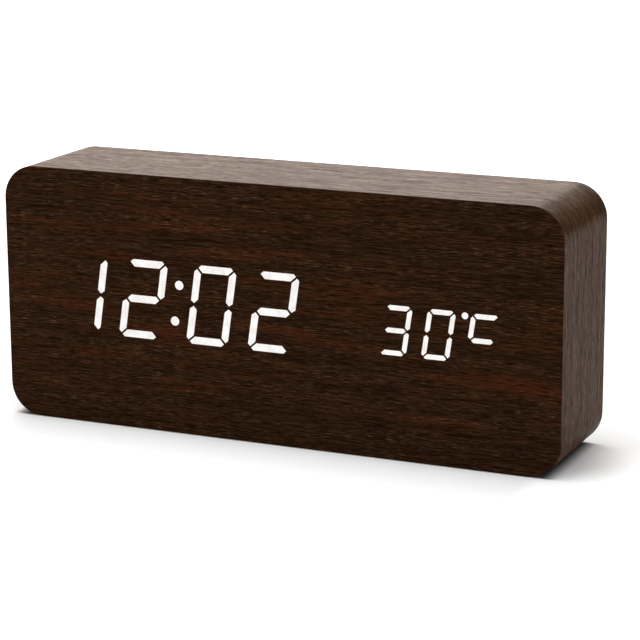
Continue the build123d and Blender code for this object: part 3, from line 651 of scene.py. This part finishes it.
@dataclass(frozen=True)
class Ribbon(Finish):
    """Flat cable of side-by-side wires, one of them marked."""

    low_z: float
    pitch: float
    colour: str = "#8f9092"
    marked: str = "#a3352b"
    grime_and_shade: str = "#4c4d50"
    groove_edges: tuple[float, float] = (0.3 * MM, 0.05 * MM)

    def build(self) -> Material:
        """Make the material."""
        recipe = Recipe(self.name)
        _, _, z = recipe.axes()
        groove_shade = abs((z - self.low_z).repeated(self.pitch)).rise(*self.groove_edges)
        first = (z - self.low_z).rise(self.pitch * 1.02, self.pitch * 0.98)
        grime_and_shade = recipe.noise(recipe.place, 500.0, 3.0, 0.6)
        colour = recipe.mix(first, paint(self.colour), paint(self.marked))
        # Painted shade in the grooves between strands, plus random grime, both toward the same
        # dark grey.
        colour = recipe.mix((groove_shade * 0.35 + grime_and_shade.rise(0.5, 0.8) * 0.2).clamped(0.0, 1.0),
                            colour, paint(self.grime_and_shade))
        return recipe.finish(
            Base_Color=colour, Roughness=0.5 + grime_and_shade.centred * 0.2,
            Normal=recipe.bump(grime_and_shade, 0.02 * MM, 0.5))


def pick(*pieces: Object) -> None:
    """Select a few pieces alone and make the first of them active.

    Args:
        pieces: What the next tools act on.
    """
    bpy.ops.object.select_all(action="DESELECT")
    for piece in pieces:
        piece.select_set(True)
    bpy.context.view_layer.objects.active = pieces[0]


@contextmanager
def editing(piece: Object) -> Iterator[None]:
    """Work on one piece in edit mode, with all of it selected at the start.

    Args:
        piece: The mesh that the tools act on.
    """
    pick(piece)
    bpy.ops.object.mode_set(mode="EDIT")
    bpy.ops.mesh.select_mode(type="FACE")
    bpy.ops.mesh.select_all(action="SELECT")
    try:
        yield
    finally:
        bpy.ops.object.mode_set(mode="OBJECT")


def finish_mesh(piece: Object, smooth_below: float = 35.0) -> None:
    """Turn all faces outwards and shade the gentle edges smooth.

    Args:
        piece: The mesh to finish.
        smooth_below: The steepest edge that still looks rounded, in degrees.
    """
    with editing(piece):
        bpy.ops.mesh.normals_make_consistent(inside=False)
    bpy.ops.object.shade_smooth_by_angle(angle=math.radians(smooth_below))


def copy_of(piece: Object, name: str) -> Object:
    """A copy with a mesh of its own.

    Args:
        piece: What is copied.
        name: The copy's name.

    Returns:
        The copy.
    """
    pick(piece)
    bpy.ops.object.duplicate(linked=False)
    made = bpy.context.active_object
    made.name = name
    return made


def joined(pieces: Sequence[Object], name: str) -> Object:
    """Several meshes made one.

    Args:
        pieces: What is joined.
        name: The name of the whole.

    Returns:
        The whole.
    """
    pick(*pieces)
    bpy.ops.object.join()
    pieces[0].name = name
    return pieces[0]


@dataclass(frozen=True)
class Turned:
    """A round piece worked up from its bottom disc, one ring after another.

    Each ring is a radius and a height, from the bottom to the top, in metres.
    """

    name: str
    rings: Sequence[tuple[float, float]]
    sides: int = 48

    def build(self) -> Object:
        """Make the piece standing upright over the origin."""
        (radius, height), *others = self.rings
        bpy.ops.mesh.primitive_circle_add(vertices=self.sides, radius=radius, fill_type="NGON")
        piece = bpy.context.active_object
        piece.name = self.name
        with editing(piece):
            bpy.ops.transform.translate(value=(0.0, 0.0, height))
            for wider, higher in others:
                bpy.ops.mesh.extrude_region_move(
                    TRANSFORM_OT_translate={"value": (0.0, 0.0, higher - height)})
                share = wider / radius
                bpy.ops.transform.resize(value=(share, share, 1.0),
                                         center_override=(0.0, 0.0, higher))
                radius, height = wider, higher
        finish_mesh(piece)
        return piece


def laid_along_x(piece: Object, toward_right: bool,
                 place: tuple[float, float, float]) -> None:
    """Lay an upright piece down along X and move its bottom to a place.

    Args:
        piece: The piece, whose mesh is moved.
        toward_right: Whether its top ends up on the right.
        place: Where the middle of its bottom goes.
    """
    turn = -math.pi / 2 if toward_right else math.pi / 2
    with editing(piece):
        bpy.ops.transform.rotate(value=turn, orient_axis="Y", center_override=(0.0, 0.0, 0.0))
        bpy.ops.transform.translate(value=place)


@dataclass(frozen=True)
class Run:
    """A straight stretch of a route."""

    way: tuple[float, float, float]

    def extrude(self) -> None:
        """Draw the selected face out along the stretch."""
        bpy.ops.mesh.extrude_region_move(TRANSFORM_OT_translate={"value": self.way})


@dataclass(frozen=True)
class Bend:
    """A bend of a route in a level plane."""

    angle: float
    centre: tuple[float, float, float]
    steps: int = 8

    def extrude(self) -> None:
        """Draw the selected face out round the bend."""
        for _ in range(self.steps):
            bpy.ops.mesh.extrude_region_move()
            bpy.ops.transform.rotate(value=self.angle / self.steps, orient_axis="Z",
                                     center_override=self.centre)


class Section(Enum):
    """What a drawn piece looks like where it is cut across."""

    ROUND = "round"
    FLAT = "flat"


@dataclass(frozen=True)
class Drawn:
    """A piece drawn through level runs and bends, starting towards the back."""

    name: str
    section: Section
    thickness: float
    height: float
    start: tuple[float, float, float]
    steps: Sequence[Union[Run, Bend]]
    sides: int = 14

    def build(self) -> Object:
        """Stand the section up at the start and draw it along every step."""
        if self.section is Section.ROUND:
            bpy.ops.mesh.primitive_circle_add(vertices=self.sides, radius=0.5, fill_type="NGON")
        else:
            bpy.ops.mesh.primitive_plane_add(size=1.0)
        piece = bpy.context.active_object
        piece.name = self.name
        middle = (0.0, 0.0, 0.0)
        with editing(piece):
            bpy.ops.transform.resize(value=(self.thickness, self.height, 1.0),
                                     center_override=middle)
            bpy.ops.transform.rotate(value=math.pi / 2, orient_axis="X", center_override=middle)
            bpy.ops.transform.translate(value=self.start)
            for step in self.steps:
                step.extrude()
        finish_mesh(piece)
        return piece


@dataclass(frozen=True)
class Wire:
    """One insulated wire whose middle line is drawn by a few control points."""

    name: str
    points: Sequence[tuple[float, float, float]]
    radius: float
    order: int = 3
    resolution: int = 16
    facets: int = 4
    weld: float = 0.01 * MM

    def build(self) -> Object:
        """Make the wire as a closed tube."""
        line = bpy.data.curves.new(self.name, "CURVE")
        line.dimensions = "3D"
        line.bevel_depth = self.radius
        line.bevel_resolution = self.facets
        line.use_fill_caps = True
        spline = line.splines.new("NURBS")
        spline.points.add(len(self.points) - 1)
        for point, place in zip(spline.points, self.points):
            point.co = (*place, 1.0)
        spline.use_endpoint_u = True
        spline.order_u = self.order
        spline.resolution_u = self.resolution
        wire = bpy.data.objects.new(self.name, line)
        bpy.context.scene.collection.objects.link(wire)
        pick(wire)
        bpy.ops.object.convert(target="MESH")
        made = bpy.context.active_object
        with editing(made):
            bpy.ops.mesh.remove_doubles(threshold=self.weld)
        finish_mesh(made, TUBE_ANGLE)
        return made


@dataclass
class Part:
    """What every sub-assembly shares: its nodes, their finishes and the log."""

    nodes: Mapping[str, Object]

    def dress(self, finish: Finish, *names: str) -> None:
        """Give a finish to carried-over solids.

        Args:
            finish: What they get.
            names: The solids that get it.
        """
        material = finish.build()
        for name in names:
            solid = self.nodes[name]
            if not solid.material_slots:
                solid.data.materials.append(material)
            for place in solid.material_slots:
                place.material = material
            LOG.info("dressed %s in %s", name, material.name)

    def place(self, piece: Object, material: Material, slot: str,
              replaced: str) -> None:
        """Finish a modelled piece of the case and let it stand for a solid.

        Args:
            piece: The modelled piece, in its place.
            material: Its finish.
            slot: Not used.
            replaced: The solid that it stands for.
        """
        piece.data.materials.clear()
        piece.data.materials.append(material)
        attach(piece, "case")
        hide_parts(replaced)
        LOG.info("modelled %s in %s", piece.name, material.name)


@dataclass
class WoodCase(Part):
    """Fibreboard case with its veneers."""

    corner: float = 12.0 * MM

    @property
    def outline(self) -> Outline:
        """The outline of the case, read from its front veneer."""
        _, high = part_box("front_veneer")
        return Outline(half_width=high[0], height=high[2], corner=self.corner)

    def build(self) -> None:
        """Dress the boards and the veneers."""
        face = Veneer("face_wood", Grain.ALONG_WIDTH, self.outline)
        # The band and the bottom take the painted-light palette, and the band's rounded top
        # corners get painted shade.
        band = Veneer("band_wood", Grain.ROUND_THE_BAND, self.outline, PAINTED_LIGHT_PALETTE, roughness=0.32,
                      sheen=0.44, patches=0.6, contrast=0.9, coarseness=0.6, fineness=0.85,
                      flecks=0.8, corner_shade=0.9)
        base = Veneer("base_wood", Grain.ALONG_WIDTH, self.outline, PAINTED_LIGHT_PALETTE)
        self.dress(face, "front_veneer", "rear_veneer")
        self.dress(band, "wrap_veneer")
        self.dress(base, "bottom_veneer")
        self.dress(Fibreboard("sawn_fibreboard"), "case_front", "case_ring")


@dataclass
class DisplayUnit(Part):
    """Lit figures, reflectors, the board behind them and what it carries."""

    def build(self) -> None:
        """Dress every piece of the display."""
        self.dress(LitFigure("lit_figures"), "time_lit_segments", "temperature_lit_segments")
        self.dress(Moulded("unlit_figures", "#c9cac6", "#dcdcd8", 0.4, 900.0, 0.01 * MM),
                   "time_dark_segments", "temperature_dark_segments")
        self.dress(Moulded("white_reflector", "#e2e2dd", "#efefec", 0.45, 1800.0, 0.02 * MM),
                   "time_reflector", "temperature_reflector")
        self.dress(CircuitBoard("display_circuit"), "display_board")
        self.dress(Moulded("led_phosphor", "#e6dca0", "#f3efd8", 0.35, 2500.0, 0.01 * MM),
                   "segment_leds")
        self.dress(Moulded("nylon", "#d9d6cb", "#e8e6dd", 0.4, 1200.0, 0.02 * MM),
                   "board_spacers")
        self.dress(Metal("zinc_screw", "#a6a7a8", "#8b8c8e"),
                   "board_screws", "control_screws", "panel_screws")
        self.dress(Moulded("chip_epoxy", "#131313", "#2a2a2b", 0.6, 3200.0, 0.02 * MM),
                   "controller_chip", "board_resistors")
        self.dress(Metal("crystal_can", "#c3c4c4", "#a7a8aa", 0.25), "clock_crystal")
        self.dress(Moulded("black_part", "#141415", "#242426", 0.42, 2100.0, 0.015 * MM),
                   "piezo_buzzer", "coin_cell_holder")
        self.dress(Metal("coin_steel", "#cfcfcd", "#b9b9b8", 0.18), "coin_cell")
        self.dress(Metal("capacitor_can", "#c6c8ca", "#aeb1b4", 0.3), "board_capacitors")


@dataclass
class RearUnit(Part):
    """Rear panel, battery compartment and its door."""

    def build(self) -> None:
        """Dress the panel, the door and what lies behind it."""
        self.dress(Moulded("panel_plastic", "#17171a", "#2b2b2f", 0.58, 2300.0, 0.045 * MM),
                   "rear_panel")
        self.dress(Moulded("bay_plastic", "#161618", "#26262a", 0.5, 1700.0, 0.02 * MM),
                   "battery_bay")
        self.dress(Moulded("door_plastic", "#19191c", "#2e2e32", 0.55, 2300.0, 0.045 * MM),
                   "battery_door", "door_latch")
        self.dress(Metal("nickel_plate", "#c9c6bd", "#a8a59c", 0.25),
                   "battery_contacts", "battery_springs")


@dataclass
class BatterySet(Part):
    """The round cells that lie in the bay, neighbours facing opposite ways."""

    count: int = 4
    length: float = 44.5 * MM
    nub_radius: float = 1.9 * MM
    nub_height: float = 0.8 * MM
    jacket_end: float = 0.5 * MM
    rim: float = 0.25 * MM
    crimp: float = 0.66 * MM

    def build(self) -> None:
        """Model one cell, copy it for the others and lay each in its place."""
        low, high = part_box("battery_cells")
        radius = (high[1] - low[1]) / 2
        pitch = (high[2] - low[2] - 2 * radius) / (self.count - 1)
        pattern = self._turned(radius)
        finishes = {side: CellJacket(f"cell_jacket_{name}", side, high[0], self.length,
                                     self.nub_height + self.crimp, self.jacket_end).build()
                    for side, name in ((True, "right"), (False, "left"))}
        for i in range(self.count):
            toward_right = i % 2 == 0
            side = 1 if toward_right else -1
            cell = copy_of(pattern, f"battery_cell_{i + 1}")
            start = side * (high[0] - self.length)
            laid_along_x(cell, toward_right, (start, low[1] + radius, low[2] + radius + i * pitch))
            self.place(cell, finishes[toward_right], "cell_sleeve", "battery_cells")
        bpy.data.objects.remove(pattern)

    def _turned(self, radius: float) -> Object:
        """One upright cell, from its flat end up to its raised end.

        Args:
            radius: Radius of the jacket.

        Returns:
            The cell, which stands over the origin.
        """
        shoulder = self.length - self.nub_height
        steel = radius - self.rim
        rings = [
            (radius * 0.66, 0.12 * MM), (radius * 0.72, 0.0), (steel - 0.3 * MM, 0.0),
            (steel, 0.15 * MM), (steel, self.jacket_end), (radius - 0.1 * MM, self.jacket_end),
            (radius, self.jacket_end + 0.2 * MM), (radius, shoulder - 0.9 * MM),
            (radius - 0.1 * MM, shoulder - self.crimp), (steel - 0.1 * MM, shoulder - self.crimp),
            (steel - 0.1 * MM, shoulder - 0.3 * MM), (steel - 0.5 * MM, shoulder),
            (steel - 1.0 * MM, shoulder), (steel - 1.2 * MM, shoulder - 0.25 * MM),
            (steel - 2.0 * MM, shoulder - 0.25 * MM), (steel - 2.2 * MM, shoulder - 0.05 * MM),
            (self.nub_radius + 0.12 * MM, shoulder), (self.nub_radius, shoulder + 0.15 * MM),
            (self.nub_radius, self.length - 0.15 * MM), (self.nub_radius - 0.18 * MM, self.length),
        ]
        return Turned("battery_cell", rings).build()


@dataclass
class Wiring(Part):
    """Flexible pieces: battery wires, microphone wires and the flat cable between the boards."""

    battery_radius: float = 0.6 * MM
    battery_run: float = 6.0 * MM
    microphone_radius: float = 0.25 * MM
    microphone_dip: float = 3.0 * MM
    strand_pitch: float = 1.0 * MM
    ribbon_thickness: float = 0.9 * MM
    ribbon_core: float = 0.34 * MM
    strand_share: float = 0.94
    bend_share: float = 0.25

    def build(self) -> None:
        """Model every wire and the flat cable."""
        self._battery_wires()
        self._microphone_wires()
        self._ribbon()

    def _battery_wires(self) -> None:
        """A red and a black wire from the ends of the bay to the control board."""
        low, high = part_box("battery_wires")
        radius = self.battery_radius
        depth, landing = low[1] + radius, high[0] - radius
        ends = (("red", "#8d1712", "#a52a20", high[2] - radius, -1),
                ("black", "#151516", "#262628", low[2] + radius, 1))
        for name, colour, pale, z, way in ends:
            turn = z + way * self.battery_run
            points = [(low[0], depth, z), (low[0] + self.battery_run, depth, z),
                      (landing, depth, turn), (landing, high[1], turn)]
            wire = Wire(f"battery_wire_{name}", points, radius).build()
            finish = Moulded(f"insulation_{name}", colour, pale, 0.38, 1400.0, 0.008 * MM)
            self.place(wire, finish.build(), "wire_insulation", "battery_wires")

    def _microphone_wires(self) -> None:
        """Two thin wires from the microphone down to the control board."""
        low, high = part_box("microphone_wires")
        radius = self.microphone_radius
        finish = Moulded("thin_insulation", "#a39d8c", "#b6b0a0", 0.4, 1800.0, 0.005 * MM).build()
        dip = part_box("microphone")[0][1] - self.microphone_dip
        for side, x in (("left", low[0] + radius), ("right", high[0] - radius)):
            points = [(x, high[1], high[2] - radius), (x, dip, high[2] - radius),
                      (x, dip, low[2] + radius), (x, low[1], low[2] + radius)]
            wire = Wire(f"microphone_wire_{side}", points, radius).build()
            self.place(wire, finish, "wire_insulation", "microphone_wires")

    def _ribbon(self) -> None:
        """Flat cable of round strands on a thin core, drawn along its route."""
        low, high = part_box("ribbon_cable")
        half, height = self.ribbon_thickness / 2, high[2] - low[2]
        left, right = low[0] + half, high[0] - half
        radius, middle = (high[1] - low[1]) * self.bend_share, (low[1] + high[1]) / 2
        steps = (Run((0.0, middle - radius - low[1], 0.0)),
                 Bend(math.pi / 2, (left + radius, middle - radius, 0.0)),
                 Run((right - left - 2 * radius, 0.0, 0.0)),
                 Bend(-math.pi / 2, (right - radius, middle + radius, 0.0)),
                 Run((0.0, high[1] - middle - radius, 0.0)))
        round_size = self.ribbon_thickness * self.strand_share
        strand = Drawn("ribbon_strand", Section.ROUND, round_size, round_size,
                       (left, low[1], low[2] + self.strand_pitch / 2), steps).build()
        core = Drawn("ribbon_core", Section.FLAT, self.ribbon_core, height - 2 * half,
                     (left, low[1], low[2] + height / 2), steps).build()
        strands = [strand]
        for i in range(1, round(height / self.strand_pitch)):
            other = copy_of(strand, f"ribbon_strand_{i}")
            with editing(other):
                bpy.ops.transform.translate(value=(0.0, 0.0, i * self.strand_pitch))
            strands.append(other)
        whole = joined([core, *strands], "ribbon_strands")
        finish_mesh(whole, TUBE_ANGLE)
        self.place(whole, Ribbon("ribbon_sleeve", low[2], self.strand_pitch).build(),
                   "ribbon_grey", "ribbon_cable")


@dataclass
class ControlUnit(Part):
    """Control board with its buttons, jack, microphone, sensor and the ribbon's connectors."""

    def build(self) -> None:
        """Dress every piece of the controls."""
        self.dress(CircuitBoard("control_circuit", pitch=1.6 * MM), "control_board")
        self.dress(Moulded("switch_plastic", "#151517", "#262629", 0.45, 2100.0, 0.015 * MM),
                   "switch_bodies", "power_jack", "set_plunger", "up_plunger", "down_plunger")
        self.dress(Moulded("button_plastic", "#1b1b1e", "#2a2a2d", 0.26, 800.0, 0.006 * MM),
                   "set_button", "up_button", "down_button")
        self.dress(Metal("plated_pin", "#d9bd72", "#b8994d", 0.2), "jack_pin")
        self.dress(Metal("microphone_can", "#c4c5c6", "#9fa0a2", 0.3), "microphone")
        self.dress(Moulded("sensor_epoxy", "#20170f", "#3a2b1d", 0.25, 700.0, 0.01 * MM),
                   "temperature_sensor")
        self.dress(Moulded("connector_nylon", "#e3dcc6", "#f0ebda", 0.42, 1500.0, 0.015 * MM),
                   "ribbon_sockets", "ribbon_plugs")


@dataclass(frozen=True)
class Lamp:
    """A soft rectangular lamp, which hangs level or is turned to face the clock."""

    name: str
    place: tuple[float, float, float]
    size: tuple[float, float]
    power: float
    level: bool = False
    tint: str = "#ffffff"
    aim: tuple[float, float, float] = (0.0, 0.0, 0.045)

    def hang(self) -> None:
        """Put the lamp in the scene."""
        light = bpy.data.lights.new(self.name, "AREA")
        light.shape = "RECTANGLE"
        light.size, light.size_y = self.size
        light.energy = self.power
        light.color = paint(self.tint)[:3]
        lamp = bpy.data.objects.new(self.name, light)
        lamp.location = self.place
        if not self.level:
            way = Vector(self.aim) - Vector(self.place)
            lamp.rotation_euler = way.to_track_quat("-Z", "Y").to_euler()
        bpy.context.scene.collection.objects.link(lamp)


@dataclass(frozen=True)
class Glow:
    """Painted light that the floor adds for the camera and that rises with a distance."""

    strength: float
    start: float
    full: float

    def at(self, distance: Signal) -> Signal:
        """How much light there is at a distance."""
        return distance.rise(self.start, self.full) * self.strength


@dataclass
class Studio:
    """Pale floor, soft lamps and the camera of the photograph."""

    floor_size: float = 12.0
    floor_paper: str = "#fafafa"
    floor_share: float = 0.95
    floor_roughness: float = 0.9
    sky: float = 0.24
    seen_sky: float = 1.0
    # Painted light on the floor round the clock, which shapes the clock's shadow for the camera;
    # the far glow whitens the distant floor.
    near: Glow = Glow(0.21, 0.004, 0.034)
    beside: Glow = Glow(0.11, 0.03, 0.09)
    right: Glow = Glow(0.165, 0.0, 0.007)
    far: Glow = Glow(0.7, 0.28, 0.75)
    rear_fade: tuple[float, float] = (0.027, 0.008)
    # Depth and reach of the painted shadow right beneath the clock's rounded sides.
    contact: float = 0.95
    contact_edges: tuple[float, float] = (0.012, 0.005)
    contact_ends: tuple[float, float] = (0.0245, 0.0215)
    camera_at: tuple[float, float, float] = (0.34235, -0.74584, 0.24328)
    camera_way: tuple[float, float, float] = (-0.39704, 0.88561, -0.24093)
    camera_roll: float = -0.00496
    lens: float = 134.74
    sensor: float = 36.0
    clip: tuple[float, float] = (0.01, 50.0)
    lamps: Sequence[Lamp] = field(default_factory=lambda: (
        Lamp("overhead_lamp", (-0.2, 0.04, 1.44), (0.6, 1.0), 16.2, level=True),
        Lamp("front_lamp", (-0.95, -1.65, 0.9), (1.0, 1.0), 8.6),
        Lamp("side_lamp", (2.0, 0.2, 0.22), (0.8, 0.4), 6.8),
        Lamp("sheen_lamp", (-0.95, 2.15, 0.62), (1.3, 1.3), 14.8, tint="#ffeee3"),
        Lamp("corner_lamp", (0.0, 2.1, 1.1), (0.9, 0.9), 1.6, tint="#ffeee3"),
    ))

    def build(self) -> None:
        """Make the floor, the lamps, the world and the camera."""
        self._floor()
        self._world()
        for lamp in self.lamps:
            lamp.hang()
        self._camera()
        bpy.context.scene.view_settings.view_transform = "Standard"

    def _floor(self) -> None:
        """Lay a large pale floor that keeps the clock's shadow and shows the camera a painted
        shadow and painted light round the clock.
        """
        bpy.ops.mesh.primitive_plane_add(size=self.floor_size)
        floor = bpy.context.active_object
        floor.name = "studio_floor"
        recipe = Recipe("studio_paper")
        tooth = recipe.noise(recipe.place, 300.0)
        grain = self.floor_roughness + tooth.centred * 0.1
        recipe.finish(Base_Color=paint(self.floor_paper), Roughness=grain,
                      Specular_IOR_Level=0.0)
        paper, glow = self._floor_light(recipe)
        seen = recipe.node("ShaderNodeBsdfPrincipled", {}, {
            "Base Color": recipe.vector(paper, paper, paper), "Roughness": grain,
            "Specular IOR Level": 0.0, "Emission Strength": 1.0,
            "Emission Color": recipe.vector(glow, glow, glow)})
        path = recipe.node("ShaderNodeLightPath")
        mixed = recipe.node("ShaderNodeMixShader", {}, {
            0: path.outputs["Is Camera Ray"], 1: recipe.shader.outputs["BSDF"],
            2: seen.outputs["BSDF"]})
        recipe.link(mixed.outputs[0], recipe.output.inputs["Surface"])
        floor.data.materials.append(recipe.material)

    def _floor_light(self, recipe: Recipe) -> tuple[Signal, Signal]:
        """What the camera sees of the floor: painted shadow, darkest right beneath the clock's
        rounded sides, and painted light round the clock.

        Args:
            recipe: The floor's material.

        Returns:
            The share of light that the paper sends back, darkened by the painted shadow, and the
            painted light that is added.
        """
        x, y, _ = recipe.axes()
        _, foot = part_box("bottom_veneer")
        over = abs(x) - foot[0]
        beside = over.most(0.0)
        # Painted shadow right beneath the clock's rounded sides.
        painted_shadow = over.rise(*self.contact_edges) * abs(y).rise(*self.contact_ends)
        painted_shadow_factor = 1 - painted_shadow * self.contact
        # Painted light that rises with distance from the clock's foot and shapes its shadow.
        glow = self.near.at(recipe.maths("SQRT", beside * beside + y * y))
        glow = glow + self.beside.at(beside)
        glow = glow + self.right.at(x - foot[0]) * y.rise(*self.rear_fade)
        glow = glow + self.far.at(recipe.maths("SQRT", x * x + y * y))
        return painted_shadow_factor * self.floor_share, painted_shadow_factor * glow

    def _world(self) -> None:
        """Light the scene evenly, with white air wherever it is seen or mirrored."""
        world = bpy.data.worlds.new("studio_air")
        bpy.context.scene.world = world
        world.use_nodes = True
        sheet = Sheet(world.node_tree)
        rays = sheet.node("ShaderNodeLightPath").outputs
        air = self._air(sheet, self.sky)
        for ray in ("Is Glossy Ray", "Is Transmission Ray", "Is Camera Ray"):
            air = sheet.node("ShaderNodeMixShader", {}, {
                0: rays[ray], 1: air, 2: self._air(sheet, self.seen_sky)}).outputs[0]
        sheet.node("ShaderNodeOutputWorld", {}, {"Surface": air})

    @staticmethod
    def _air(sheet: Sheet, strength: float) -> NodeSocket:
        """White air of one strength."""
        return sheet.node("ShaderNodeBackground", {}, {
            "Color": (1.0, 1.0, 1.0, 1.0), "Strength": strength}).outputs[0]

    def _camera(self) -> None:
        """Set up the camera at the photograph's viewing angle."""
        view = bpy.data.cameras.new("photo_camera")
        view.lens = self.lens
        view.sensor_width = self.sensor
        view.clip_start, view.clip_end = self.clip
        camera = bpy.data.objects.new("photo_camera", view)
        camera.location = self.camera_at
        facing = Vector(self.camera_way).to_track_quat("-Z", "Y")
        roll = Quaternion((0.0, 0.0, 1.0), self.camera_roll)
        camera.rotation_euler = (facing @ roll).to_euler()
        bpy.context.scene.collection.objects.link(camera)
        bpy.context.scene.camera = camera


def main() -> None:
    """Load the frame, build every sub-assembly and set the stage."""
    logging.basicConfig(level=logging.INFO, format="%(name)s: %(message)s")
    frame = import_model()
    nodes = frame["nodes"]
    for unit in (WoodCase(nodes), DisplayUnit(nodes), RearUnit(nodes), BatterySet(nodes),
                 ControlUnit(nodes), Wiring(nodes)):
        unit.build()
        LOG.info("finished %s", type(unit).__name__)
    Studio().build()


if __name__ == "__main__":
    main()
